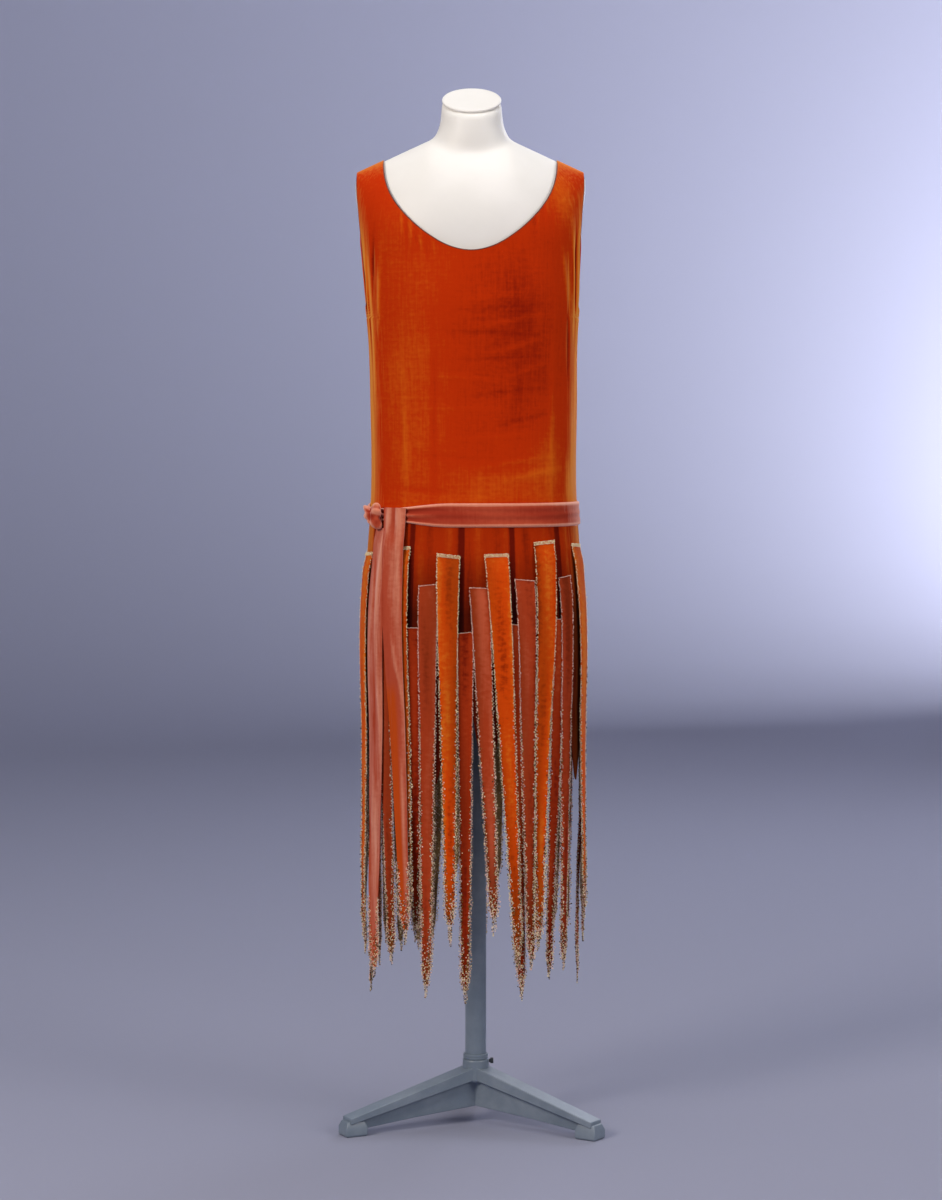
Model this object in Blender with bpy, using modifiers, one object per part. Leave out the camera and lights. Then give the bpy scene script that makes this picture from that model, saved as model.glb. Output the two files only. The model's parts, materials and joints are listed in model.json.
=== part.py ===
"""A straight low-waisted evening dress of velvet with hanging streamers, on a limbless dress form.

Metres, +Z up, the front of the dress faces -Y. The origin is on the floor under the stand.
A place on the body line is a turn (0 front middle, 0.5 a side, 1 back middle) and a height.
"""
import math
from collections import namedtuple

import bmesh
import bpy
import numpy as np
from mathutils import Matrix, Vector

# Cloth walls, and how far pieces stay apart
GAP = 0.0003
CLOTH = 0.0012
SEAT_GAP = 0.0007
LAYER_STEP = CLOTH + SEAT_GAP
PANEL_OUTER = GAP + CLOTH
WELD = 0.00002
SHARP_ANGLE = math.radians(40.0)

# Heights; the shoulder line is drawn level at SHOULDER_Z and then sloped
SHOULDER_Z = 1.457
SHOULDER_ROUND_Z = 1.300
SHEAR_FROM_Z = 1.260
SHOULDER_SLOPE = 0.46
SHOULDER_ROUNDNESS = 1.8
NECK_SIDE = 0.058
UNDERARM_Z = 1.195
HIP_SEAM_Z = 0.905
HIP_Z = 0.700
NOTCH_Z = 0.735
POINT_Z = 0.515
# Heights at which the seams between the halves are measured
BODICE_SEAM_Z = 1.0
SKIRT_SEAM_Z = 0.8

# Neckline and straps
NECK_HALF_WIDTH = 0.127
STRAP_OUTER = 0.166
NECK_DROP = {"front": 0.1665, "back": 0.085}
NECK_ROUNDNESS = 1.9
STRAP_SHARE = 0.2
CORNER_CROWDING = 1.6
LOW_CROWDING = 0.04

# Sash
SASH_Z = 0.908
SASH_HEIGHT = 0.0350
SASH_GATHERED_HEIGHT = 0.023
SASH_THICKNESS = 0.0026
SASH_FOLD = 0.0007
GATHER_FROM = 0.03
GATHER_REACH = 0.075
# Across the band: share of its half height, and height above its inner face
SASH_PROFILE = (
    (-1.0, 0.0),
    (-0.96, SASH_THICKNESS - SASH_FOLD),
    (-0.45, SASH_THICKNESS),
    (-0.05, SASH_THICKNESS - SASH_FOLD),
    (0.45, SASH_THICKNESS),
    (0.96, SASH_THICKNESS - SASH_FOLD),
    (1.0, 0.0),
)
KNOT_SEAT = -0.166
KNOT_SIZE = (0.026, 0.017, 0.034)
KNOT_SINK = 0.0003
KNOT_LOBES = 3.0
KNOT_PINCH = 0.22
KNOT_SIDES = 14
KNOT_RINGS = 8

# Form and neck
FORM_BOTTOM_Z = 0.690
FORM_EASE = 0.0045
FORM_EASE_HEIGHT = 0.008
NECK_TIP_RADIUS = 0.0435
CAP_RADIUS = 0.0455
CAP_THICKNESS = 0.004
CAP_CENTRE = (-0.003, 0.000, 1.514)
CAP_TILT = math.radians(27.0)

# Where the dress's upright axis stands from the middle of the stand's footprint
AXIS_PLACE = (0.0033, -0.0422, 0.0)

# Stand
STAND_X = 0.003
POLE_RADIUS = 0.0155
HUB_RADIUS = 0.0195
HUB_TOP_Z = 0.0960
HUB_FOOT_Z = 0.0235
COLLAR_RADIUS = 0.0185
COLLAR_HEIGHT = 0.0075
SCREW_RADIUS = 0.0032
SCREW_LENGTH = 0.0090
SCREW_SIDES = 12
LEG_REACH = 0.217
LEG_TURN = math.radians(3.8)
FOOT_SIZE = (0.034, 0.030, 0.022)

# Body line and form, as half widths and half depths at heights, and how far the middle leans aside
Level = namedtuple("Level", "z half_width half_depth form_width form_depth lean")
LEVELS = [
    Level(0.150, 0.1575, 0.1120, 0.1400, 0.1000, 0.000),
    Level(0.600, 0.1605, 0.1150, 0.1400, 0.1000, 0.000),
    Level(0.700, 0.1625, 0.1180, 0.1510, 0.1060, 0.000),
    Level(0.770, 0.1610, 0.1185, 0.1570, 0.1110, 0.000),
    Level(0.850, 0.1555, 0.1150, 0.1520, 0.1080, 0.000),
    Level(0.940, 0.1500, 0.1085, 0.1380, 0.0970, 0.000),
    Level(1.060, 0.1500, 0.1080, 0.1290, 0.0910, 0.000),
    Level(1.150, 0.1510, 0.1120, 0.1400, 0.1030, -0.001),
    Level(1.220, 0.1550, 0.1150, 0.1520, 0.1120, -0.002),
    Level(1.300, 0.1605, 0.1120, 0.1585, 0.1120, -0.004),
    Level(1.380, 0.1670, 0.1120, 0.1655, 0.1120, -0.005),
    Level(1.457, 0.1725, 0.1120, 0.1710, 0.1120, -0.005),
]
SECTION_ROUNDNESS = 2.4
QUARTER_STEPS = 180
# Between these heights the skirt and all that lies on it run straight
STATIONS = (0.150, 0.520, 0.600, 0.660, 0.700, 0.735, 0.770, 0.800, 0.835, 0.870, 0.905)

# One row for each streamer of the front half; seat and end are distances along the hip from the middle
Streamer = namedtuple("Streamer", "layer seat top_z top_width end end_z end_width")
FRONT_STREAMERS = [
    Streamer("orange", -0.1900, 0.8500, 0.0340, -0.1860, 0.300, 0.012),
    Streamer("orange", -0.1140, 0.8610, 0.0340, -0.0980, 0.330, 0.014),
    Streamer("orange", -0.0377, 0.8505, 0.0335, -0.0350, 0.315, 0.013),
    Streamer("orange", 0.0337, 0.8515, 0.0345, 0.0660, 0.268, 0.011),
    Streamer("orange", 0.1085, 0.8690, 0.0340, 0.0950, 0.292, 0.010),
    Streamer("orange", 0.1820, 0.8630, 0.0340, 0.1900, 0.330, 0.013),
    Streamer("pink", -0.1420, 0.8120, 0.0290, -0.1280, 0.268, 0.012),
    Streamer("pink", -0.0654, 0.8070, 0.0295, -0.0720, 0.224, 0.012),
    Streamer("pink", 0.0085, 0.8030, 0.0290, 0.0300, 0.324, 0.012),
    Streamer("pink", 0.0755, 0.8140, 0.0290, 0.0860, 0.262, 0.010),
    Streamer("pink", 0.1425, 0.8170, 0.0240, 0.1430, 0.257, 0.010),
    Streamer("pink", 0.2130, 0.8100, 0.0280, 0.2060, 0.290, 0.011),
    Streamer("rose", -0.1580, 0.7400, 0.0230, -0.1580, 0.262, 0.012),
    Streamer("rose", -0.0860, 0.7450, 0.0240, -0.0900, 0.302, 0.011),
    Streamer("rose", -0.0123, 0.7385, 0.0235, -0.0130, 0.217, 0.012),
    Streamer("rose", 0.0590, 0.7500, 0.0235, 0.0740, 0.220, 0.011),
    Streamer("rose", 0.1300, 0.7560, 0.0230, 0.1180, 0.245, 0.010),
    Streamer("rose", 0.2020, 0.7450, 0.0230, 0.1960, 0.232, 0.012),
]
# The hidden half repeats the rows with its ends lowered or raised by these, in turn
BACK_END_SHIFTS = (0.022, -0.018, 0.034, -0.006, 0.012, -0.026)
Layer = namedtuple("Layer", "rank swing finish")
LAYERS = {
    "rose": Layer(0, -0.0050, "velvet_rose"),
    "pink": Layer(1, 0.0000, "velvet_pink"),
    "orange": Layer(2, 0.0040, "velvet_orange"),
}
TOP_RAMP = 0.030
SWING_FROM_Z = 0.600
SWING_FULL_Z = 0.250
TAPER_POWER = 0.8

Tail = namedtuple("Tail", "name seat top_z top_width end end_z end_width rank")
TAILS = [
    Tail("sash_tail_rear", -0.1500, 0.8780, 0.028, -0.1545, 0.246, 0.017, 3.2),
    Tail("sash_tail_front", -0.1200, 0.9170, 0.036, -0.0985, 0.306, 0.013, 4.4),
]
TAIL_FOLD = 0.0022
TAIL_FOLD_RAMP = 0.060
# Below this height a tail has left the sash, over the given drop
SASH_LEFT_Z = 0.890
SASH_LEFT_DROP = 0.030
# Heights at which a tail bends where it leaves the sash, this far below its top at most
TAIL_BENDS = (0.845, 0.860, 0.875, 0.890)
TAIL_BEND_ZONE = 0.050

# Ends that carry a fringe solid, and how far its longest strand hangs
FRINGE_DROPS = {
    "sash_tail_rear": 0.018,
    "sash_tail_front": 0.026,
    "orange_front_3": 0.036,
    "orange_front_4": 0.018,
    "orange_front_5": 0.018,
    "pink_front_2": 0.020,
    "pink_front_3": 0.028,
    "pink_front_5": 0.018,
    "rose_front_3": 0.022,
    "rose_front_4": 0.020,
}
STRANDS = 4
FRINGE_BACKING = 0.004
STRAND_SHARES = (0.72, 1.0, 0.84, 0.60)
STRAND_SWAY = 0.0024
MEAN_STRAND_SHARE = 0.8
BACKING_INSET = 0.04

# Mesh density
BODICE_COLUMNS = 30
BODICE_ROWS = 10
SHOULDER_ROWS = 6
LEAST_ROW = 0.002
GORES = 6
GORE_COLUMNS = 6
POINT_ROWS = 3
FREE_ROWS = 4
STRIP_COLUMNS = 2
SASH_COLUMNS = 56
TORSO_COLUMNS = 32
TORSO_RINGS = 7
ROUND_SIDES = 24

Finish = namedtuple("Finish", "colour roughness metallic")
FINISHES = {
    "velvet_orange": Finish((0.440, 0.032, 0.002), 0.75, 0.0),
    "velvet_pink": Finish((0.550, 0.093, 0.061), 0.75, 0.0),
    "velvet_rose": Finish((0.480, 0.060, 0.030), 0.75, 0.0),
    "glass_beads": Finish((0.700, 0.560, 0.360), 0.25, 0.0),
    "form_white": Finish((0.820, 0.810, 0.780), 0.60, 0.0),
    "stand_grey": Finish((0.230, 0.300, 0.370), 0.45, 0.2),
}


def clear_scene():
    """Start from an empty file."""
    for obj in list(bpy.data.objects):
        bpy.data.objects.remove(obj, do_unlink=True)


def new_collection(name):
    """Make a collection in the scene."""
    made = bpy.data.collections.new(name)
    bpy.context.scene.collection.children.link(made)
    return made


def dress_material(obj, finish_name):
    """Give a piece its own material."""
    finish = FINISHES[finish_name]
    material = bpy.data.materials.new(obj.name + "_" + finish_name)
    material.use_nodes = True
    shader = material.node_tree.nodes["Principled BSDF"]
    shader.inputs["Base Color"].default_value = (*finish.colour, 1.0)
    shader.inputs["Roughness"].default_value = finish.roughness
    shader.inputs["Metallic"].default_value = finish.metallic
    obj.data.materials.clear()
    obj.data.materials.append(material)


def add_piece(name, mesh, home, finish_name):
    """Put a mesh in the scene as a named, smooth piece."""
    obj = bpy.data.objects.new(name, mesh)
    home.objects.link(obj)
    dress_material(obj, finish_name)
    mesh.shade_smooth()
    mesh.set_sharp_from_angle(angle=SHARP_ANGLE)
    return obj


def soft_step(value):
    """A soft step from 0 to 1."""
    clamped = min(1.0, max(0.0, value))
    return clamped * clamped * (3.0 - 2.0 * clamped)


def smooth_level(z, column):
    """A column of the level table at a height, on a smooth curve through its rows."""
    heights = [level.z for level in LEVELS]
    values = [getattr(level, column) for level in LEVELS]
    z = min(max(z, heights[0]), heights[-1])
    k = min(max(int(np.searchsorted(heights, z)) - 1, 0), len(heights) - 2)
    step = heights[k + 1] - heights[k]
    slopes = []
    for i in (k, k + 1):
        inside = 0 < i < len(heights) - 1
        span = heights[min(i + 1, len(heights) - 1)] - heights[max(i - 1, 0)]
        slopes.append((values[i + 1] - values[i - 1]) / span if inside else 0.0)
    t = (z - heights[k]) / step
    start = (2 * t**3 - 3 * t**2 + 1) * values[k] + (t**3 - 2 * t**2 + t) * step * slopes[0]
    end = (-2 * t**3 + 3 * t**2) * values[k + 1] + (t**3 - t**2) * step * slopes[1]
    return start + end


STATION_VALUES = {}


def level_value(z, column):
    """A column at a height: straight between the stations of the skirt, smooth above them."""
    if z >= STATIONS[-1]:
        return smooth_level(z, column)
    if column not in STATION_VALUES:
        STATION_VALUES[column] = [smooth_level(station, column) for station in STATIONS]
    return float(np.interp(z, STATIONS, STATION_VALUES[column]))


def half_depth(z, column):
    """Half the depth at a height, closing in a round shoulder at the top."""
    if z <= SHOULDER_ROUND_Z:
        return level_value(z, column)
    rise = min((z - SHOULDER_ROUND_Z) / (SHOULDER_Z - SHOULDER_ROUND_Z), 1.0)
    return level_value(SHOULDER_ROUND_Z, column) * (1.0 - rise**2) ** (1.0 / SHOULDER_ROUNDNESS)


QUARTER_ANGLES = np.linspace(0.0, math.pi / 2.0, QUARTER_STEPS + 1)
QUARTER_X = np.sin(QUARTER_ANGLES) ** (2.0 / SECTION_ROUNDNESS)
QUARTER_Y = np.cos(QUARTER_ANGLES) ** (2.0 / SECTION_ROUNDNESS)


def quarter(a, b):
    """Points and arc lengths of a quarter section from the front middle to the side."""
    x = a * QUARTER_X
    y = -b * QUARTER_Y
    arc = np.concatenate([[0.0], np.cumsum(np.hypot(np.diff(x), np.diff(y)))])
    return x, y, arc


def section_point(turn, a, b):
    """A point of the section at a turn."""
    turn = (turn + 1.0) % 2.0 - 1.0
    side = -1.0 if turn < 0.0 else 1.0
    share = abs(turn) * 2.0
    x, y, arc = quarter(a, b)
    face = 1.0 if share <= 1.0 else -1.0
    place = (share if share <= 1.0 else 2.0 - share) * arc[-1]
    return side * float(np.interp(place, arc, x)), face * float(np.interp(place, arc, y))


def slope_down(x, z):
    """How far the sloping shoulder lowers a point."""
    share = soft_step((z - SHEAR_FROM_Z) / (SHOULDER_Z - SHEAR_FROM_Z))
    return SHOULDER_SLOPE * max(0.0, abs(x) - NECK_SIDE) * share


def body_point(turn, z):
    """A point of the body line, which the cloth lies on."""
    x, y = section_point(turn, level_value(z, "half_width"), half_depth(z, "half_depth"))
    return Vector((x + level_value(z, "lean"), y, z - slope_down(x, z)))


def form_point(turn, z):
    """A point of the form, just inside the cloth at the shoulder line and well inside it elsewhere."""
    ease = FORM_EASE * soft_step((SHOULDER_Z - z) / FORM_EASE_HEIGHT)
    a = level_value(z, "form_width") - GAP
    b = half_depth(z, "form_depth") - ease
    x, y = section_point(turn, a, max(b, GAP))
    return Vector((x + level_value(z, "lean"), y, z - GAP - slope_down(x, z)))


def outward(turn, z):
    """The body line's outward direction."""
    dt = 0.002
    dz = 0.001
    along = body_point(turn + dt, z) - body_point(turn - dt, z)
    up = body_point(turn, min(z + dz, SHOULDER_Z)) - body_point(turn, z - dz)
    return along.cross(up).normalized()


def cloth_point(turn, z, out):
    """A point moved out from the body line."""
    return body_point(turn, z) + outward(turn, z) * out


def perimeter(z):
    """The length round the body line at a height."""
    return 4.0 * quarter(level_value(z, "half_width"), half_depth(z, "half_depth"))[2][-1]


HIP_PERIMETER = perimeter(HIP_Z)


def turn_of(distance):
    """The turn of a distance along the hip."""
    return 2.0 * distance / HIP_PERIMETER


def grid_mesh(name, rows):
    """An open sheet through rows of points; rows run upward and points run with the turn."""
    mesh = bpy.data.meshes.new(name)
    width = len(rows[0])
    faces = []
    for i in range(len(rows) - 1):
        for j in range(width - 1):
            first = i * width + j
            faces.append((first, first + 1, first + 1 + width, first + width))
    mesh.from_pydata([point for row in rows for point in row], [], faces)
    mesh.update()
    return mesh


def add_sheet(name, rows, home, finish_name):
    """A cloth wall: an open sheet thickened outward."""
    obj = add_piece(name, grid_mesh(name, rows), home, finish_name)
    wall = obj.modifiers.new("wall", "SOLIDIFY")
    wall.thickness = CLOTH
    wall.offset = 1.0
    return obj


def loft_mesh(name, rings, closed_loop=False):
    """A closed skin through rings of equal count, with flat ends or joined end to start."""
    mesh = bpy.data.meshes.new(name)
    count = len(rings[0])
    faces = []
    for i in range(len(rings) if closed_loop else len(rings) - 1):
        upper = (i + 1) % len(rings)
        for j in range(count):
            k = (j + 1) % count
            faces.append((i * count + j, i * count + k, upper * count + k, upper * count + j))
    if not closed_loop:
        last = (len(rings) - 1) * count
        faces.append(tuple(range(count - 1, -1, -1)))
        faces.append(tuple(range(last, last + count)))
    mesh.from_pydata([point for ring in rings for point in ring], [], faces)
    face_outward(mesh)
    return mesh


def face_outward(mesh):
    """Turn every face of a closed mesh outward."""
    made = bmesh.new()
    made.from_mesh(mesh)
    bmesh.ops.recalc_face_normals(made, faces=made.faces)
    made.to_mesh(mesh)
    made.free()


def fuse(obj, others):
    """Join solids into one body and remove the joined ones."""
    for other in others:
        union = obj.modifiers.new("join", "BOOLEAN")
        union.operation = "UNION"
        union.object = other
    bpy.context.view_layer.update()
    evaluated = obj.evaluated_get(bpy.context.evaluated_depsgraph_get())
    joined = bpy.data.meshes.new_from_object(evaluated)
    welded = bmesh.new()
    welded.from_mesh(joined)
    bmesh.ops.remove_doubles(welded, verts=welded.verts, dist=WELD)
    welded.to_mesh(joined)
    welded.free()
    obj.modifiers.clear()
    obj.data = joined
    for other in others:
        bpy.data.objects.remove(other, do_unlink=True)
    return obj


def strap_turn(x):
    """The turn at which the level shoulder line stands at x."""
    return 0.5 * x / level_value(SHOULDER_Z, "half_width")


def turn_at_x(x, z):
    """The front turn whose point stands at x, at a height."""
    xs, _, arc = quarter(level_value(z, "half_width"), half_depth(z, "half_depth"))
    return math.copysign(0.5 * float(np.interp(abs(x), xs, arc)) / arc[-1], x)


STRAP_OUTER_SHARE = STRAP_OUTER / smooth_level(SHOULDER_Z, "half_width")
# The armhole's edges, as shares of the body's half width; the back edge lies nearer the side
ArmEdge = namedtuple("ArmEdge", "z front back")
ARM_EDGES = [
    ArmEdge(UNDERARM_Z, 1.000, 1.000),
    ArmEdge(1.225, 0.982, 0.998),
    ArmEdge(1.300, 0.980, 0.996),
    ArmEdge(1.345, 0.978, 0.985),
    ArmEdge(1.400, 0.970, 0.970),
    ArmEdge(SHOULDER_Z, STRAP_OUTER_SHARE, STRAP_OUTER_SHARE),
]


def side_edge(z, side):
    """The turn of a panel's right edge: the side seam, then the armhole up to the strap."""
    if z <= UNDERARM_Z:
        return 0.5
    if z >= SHOULDER_Z:
        return strap_turn(STRAP_OUTER)
    share = float(np.interp(z, [edge.z for edge in ARM_EDGES], [getattr(edge, side) for edge in ARM_EDGES]))
    return turn_at_x(share * level_value(z, "half_width"), z)


def top_edge(share, drop):
    """Turn and height along the bodice's top edge, from one outer strap corner to the other."""
    strap_left = min(share, 1.0 - share) / STRAP_SHARE
    if strap_left <= 1.0:
        side = -1.0 if share < 0.5 else 1.0
        return strap_turn(side * (STRAP_OUTER + (NECK_HALF_WIDTH - STRAP_OUTER) * strap_left)), SHOULDER_Z
    from_corner = (min(share, 1.0 - share) - STRAP_SHARE) / (0.5 - STRAP_SHARE)
    angle = math.pi / 2.0 * from_corner**CORNER_CROWDING
    across = math.copysign(math.cos(angle), share - 0.5)
    power = 2.0 / NECK_ROUNDNESS
    x = NECK_HALF_WIDTH * math.copysign(abs(across) ** power, across)
    z = SHOULDER_Z - drop * math.sin(angle) ** power
    return turn_at_x(x, z), z


ArmFold = namedtuple("ArmFold", "turn width depth")
ARM_FOLDS = [ArmFold(0.455, 0.018, 0.0030), ArmFold(0.412, 0.014, 0.0018), ArmFold(0.368, 0.018, 0.0012)]
# They rise from the lower height over its fade, and are gone again at the upper one
ARM_FOLD_LOW_Z = 0.96
ARM_FOLD_LOW_FADE = 0.14
ARM_FOLD_HIGH_Z = 1.39
ARM_FOLD_HIGH_FADE = 0.12


def arm_folds(turn, z):
    """How far the long folds below the armholes stand out."""
    stand = sum(fold.depth * math.exp(-(((abs(turn) - fold.turn) / fold.width) ** 2)) for fold in ARM_FOLDS)
    rise = soft_step((z - ARM_FOLD_LOW_Z) / ARM_FOLD_LOW_FADE)
    return stand * rise * soft_step((ARM_FOLD_HIGH_Z - z) / ARM_FOLD_HIGH_FADE)


def rising_heights(low, rows):
    """Heights from low to the shoulder line, even at first and closer over the round of the shoulder."""
    even = [low + (SHOULDER_ROUND_Z - low) * i / rows for i in range(rows)]
    rounding = SHOULDER_Z - SHOULDER_ROUND_Z
    steps = range(SHOULDER_ROWS + 1)
    return even + [SHOULDER_ROUND_Z + rounding * math.sin(math.pi / 2.0 * i / SHOULDER_ROWS) for i in steps]


def bodice_rows(side):
    """Places of one bodice half: rows of turn and height, from the hip seam up."""
    half_seam = GAP / perimeter(BODICE_SEAM_Z)
    seat_z = HIP_SEAM_Z + GAP * 0.5
    rows = []
    for edge_z in rising_heights(HIP_SEAM_Z, BODICE_ROWS):
        rise = (edge_z - HIP_SEAM_Z) / (SHOULDER_Z - HIP_SEAM_Z)
        edge = side_edge(edge_z, side)
        straight = (1.0 - rise) * 0.5 + rise * strap_turn(STRAP_OUTER)
        row = []
        for j in range(BODICE_COLUMNS + 1):
            u = j / BODICE_COLUMNS
            low = u - 0.5 + LOW_CROWDING * math.sin(2.0 * math.pi * (u + 0.5))
            top, top_z = top_edge(u, NECK_DROP[side])
            turn = (1.0 - rise) * low + rise * top + (2.0 * u - 1.0) * (edge - straight - half_seam)
            row.append((turn, seat_z + (top_z - seat_z) * rise))
        rows.append(row)
    return rows


def add_bodice(side, home):
    """One half of the bodice; the back half is the front's plan turned about, with its own neckline."""
    rows = []
    for places in bodice_rows(side):
        row = []
        for turn, z in places:
            out = GAP + arm_folds(turn, z)
            point = cloth_point(turn, z, out)
            if z >= SHOULDER_Z:
                point.y = -GAP * 0.5
            if side == "back":
                point.y = -point.y
            row.append(point)
        rows.append(row if side == "front" else row[::-1])
    return add_sheet("bodice_" + side, rows, home, "velvet_orange")


# Where the gores' seams start, how full their points are, and the least step between rows at a notch
FIRST_SEAM = -0.0185
POINT_FULLNESS = 1.3
NOTCH_STEP = 0.0004


def hem_height(share):
    """Height of the pointed hem across one gore, from notch to notch."""
    return NOTCH_Z + (POINT_Z - NOTCH_Z) * (1.0 - abs(2.0 * share - 1.0) ** POINT_FULLNESS)


def add_skirt(side, home):
    """One half of the skirt: six gores, each ending in a point."""
    middle = 0.0 if side == "front" else 1.0
    first_seam = turn_of(FIRST_SEAM)
    half_seam = GAP / perimeter(SKIRT_SEAM_Z)
    columns = GORES * GORE_COLUMNS
    heights = [z for z in STATIONS if z >= NOTCH_Z]
    rows = []
    for i in range(POINT_ROWS + len(heights)):
        row = []
        for j in range(columns + 1):
            share = j / columns
            turn = middle - 0.5 + share + half_seam * (1.0 - 2.0 * share)
            gore = ((turn - middle - first_seam) * GORES) % 1.0
            if i < POINT_ROWS:
                hem = hem_height(gore)
                z = hem + (NOTCH_Z - hem) * i / POINT_ROWS - NOTCH_STEP * (POINT_ROWS - i)
            else:
                z = heights[i - POINT_ROWS]
            z = min(z, HIP_SEAM_Z - GAP * 0.5)
            row.append(cloth_point(turn, z, GAP))
        rows.append(row)
    return add_sheet("skirt_" + side, rows, home, "velvet_orange")


def swing_out(layer, z):
    """How far a layer swings out or in where it hangs free."""
    return layer.swing * soft_step((SWING_FROM_Z - z) / (SWING_FROM_Z - SWING_FULL_Z))


def layer_out(layer, drop, z):
    """How far a streamer's inner face is from the body line."""
    rank = layer.rank * soft_step(drop / TOP_RAMP)
    return PANEL_OUTER + SEAT_GAP + rank * LAYER_STEP + swing_out(layer, z)


def strip_heights(top_z, end_z):
    """Heights of a strip's rows, from its end up: free rows, stations, then its seat."""
    free = [end_z + (SWING_FROM_Z - end_z) * k / FREE_ROWS for k in range(FREE_ROWS)]
    held = [z for z in STATIONS if SWING_FROM_Z <= z < top_z - TOP_RAMP - 2.0 * LEAST_ROW]
    return free + held + [top_z - TOP_RAMP, top_z - TOP_RAMP / 2.0, top_z]


def strip_row(row, z, out, turned):
    """Points across a strip at a height."""
    share = (row.top_z - z) / (row.top_z - row.end_z)
    middle = row.seat + (row.end - row.seat) * share
    width = row.top_width + (row.end_width - row.top_width) * share**TAPER_POWER
    points = []
    for k in range(STRIP_COLUMNS + 1):
        across = middle + width * (k / STRIP_COLUMNS - 0.5)
        points.append(cloth_point(turn_of(across) + turned, z, out))
    return points


def add_fringe(name, ends, drop, home):
    """A narrow backing just below a strip's end, with square strands hanging from it."""
    left, right = ends
    across = right - left
    width = math.hypot(across.x, across.y)
    along = Vector((across.x, across.y, 0.0)).normalized()
    out = along.cross(Vector((0.0, 0.0, 1.0)))
    cells = 2 * STRANDS + 1
    made = bmesh.new()
    base = [[None] * (cells + 1) for _ in range(4)]
    for j in range(cells + 1):
        place = left + along * (width * (BACKING_INSET + (1.0 - 2.0 * BACKING_INSET) * j / cells))
        for k, (deep, low) in enumerate(((0.0, 0.0), (1.0, 0.0), (1.0, 1.0), (0.0, 1.0))):
            corner = place + out * (CLOTH * deep) - Vector((0.0, 0.0, GAP + FRINGE_BACKING * low))
            base[k][j] = made.verts.new(corner)
    roots = []
    for j in range(cells):
        for k in range(4):
            m = (k + 1) % 4
            face = made.faces.new((base[k][j], base[k][j + 1], base[m][j + 1], base[m][j]))
            if k == 2 and j % 2 == 1:
                roots.append(face)
    made.faces.new([base[k][0] for k in (0, 1, 2, 3)])
    made.faces.new([base[k][cells] for k in (3, 2, 1, 0)])
    bmesh.ops.recalc_face_normals(made, faces=made.faces)
    for share, root in zip(STRAND_SHARES, roots):
        hang = (drop - FRINGE_BACKING) * share
        tip = bmesh.ops.extrude_discrete_faces(made, faces=[root])["faces"][0]
        sway = along * (STRAND_SWAY * (share - MEAN_STRAND_SHARE))
        for vert in tip.verts:
            vert.co += sway - Vector((0.0, 0.0, hang))
    mesh = bpy.data.meshes.new(name)
    made.to_mesh(mesh)
    made.free()
    face_outward(mesh)
    return add_piece(name, mesh, home, "glass_beads")


def add_streamers(home):
    """All streamers of the front half, and the same round the back."""
    for half, turned in (("front", 0.0), ("back", 1.0)):
        counts = dict.fromkeys(LAYERS, 0)
        for place, row in enumerate(FRONT_STREAMERS):
            counts[row.layer] += 1
            short = "%s_%s_%d" % (row.layer, half, counts[row.layer])
            if half == "back":
                row = row._replace(end_z=row.end_z + BACK_END_SHIFTS[place % len(BACK_END_SHIFTS)])
            layer = LAYERS[row.layer]
            rows = []
            for z in strip_heights(row.top_z, row.end_z):
                rows.append(strip_row(row, z, layer_out(layer, row.top_z - z, z), turned))
            add_sheet("streamer_" + short, rows, home, layer.finish)
            if short in FRINGE_DROPS:
                add_fringe("fringe_" + short, (rows[0][0], rows[0][-1]), FRINGE_DROPS[short], home)


def sash_height(distance):
    """The sash's height, gathered towards the knot."""
    away = min(abs(distance - KNOT_SEAT), HIP_PERIMETER - abs(distance - KNOT_SEAT))
    share = soft_step((away - GATHER_FROM) / GATHER_REACH)
    return SASH_GATHERED_HEIGHT + (SASH_HEIGHT - SASH_GATHERED_HEIGHT) * share


def add_sash_band(home):
    """The sash round the hips: one flat tube with two soft folds along it."""
    inner = PANEL_OUTER + SEAT_GAP
    rings = []
    for j in range(SASH_COLUMNS):
        turn = 2.0 * j / SASH_COLUMNS
        distance = (turn if turn <= 1.0 else turn - 2.0) * HIP_PERIMETER / 2.0
        half = sash_height(distance) / 2.0
        rings.append([cloth_point(turn, SASH_Z + half * up, inner + out) for up, out in SASH_PROFILE])
    add_piece("sash_band", loft_mesh("sash_band", rings, closed_loop=True), home, "velvet_pink")


def add_knot(home):
    """The knot: a soft crushed lobe on the band, with a waist where the front tail crosses it."""
    seat_out = PANEL_OUTER + SEAT_GAP + SASH_THICKNESS + GAP
    turn = turn_of(KNOT_SEAT)
    normal = outward(turn, SASH_Z)
    along = Vector((0.0, 0.0, 1.0)).cross(normal).normalized()
    width, depth, height = KNOT_SIZE
    made = bmesh.new()
    bmesh.ops.create_uvsphere(made, u_segments=KNOT_SIDES, v_segments=KNOT_RINGS, radius=0.5)
    centre = cloth_point(turn, SASH_Z, seat_out + depth * 0.5 - KNOT_SINK)
    for vert in made.verts:
        x, y, z = vert.co
        pinch = 1.0 - KNOT_PINCH * math.cos(KNOT_LOBES * math.atan2(z, x))
        spread = Vector((x * width * pinch, y * depth, z * height * pinch))
        vert.co = centre + along * spread.x + normal * spread.y + Vector((0.0, 0.0, spread.z))
    mesh = bpy.data.meshes.new("sash_knot")
    made.to_mesh(mesh)
    made.free()
    face_outward(mesh)
    return add_piece("sash_knot", mesh, home, "velvet_pink")


def tail_out(tail, z):
    """How far a tail's inner face is from the body line: over the sash, then over the streamers."""
    over_sash = PANEL_OUTER + SEAT_GAP + SASH_THICKNESS + SEAT_GAP
    over_streamers = PANEL_OUTER + SEAT_GAP + tail.rank * LAYER_STEP
    return over_sash + (over_streamers - over_sash) * soft_step((SASH_LEFT_Z - z) / SASH_LEFT_DROP)


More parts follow.
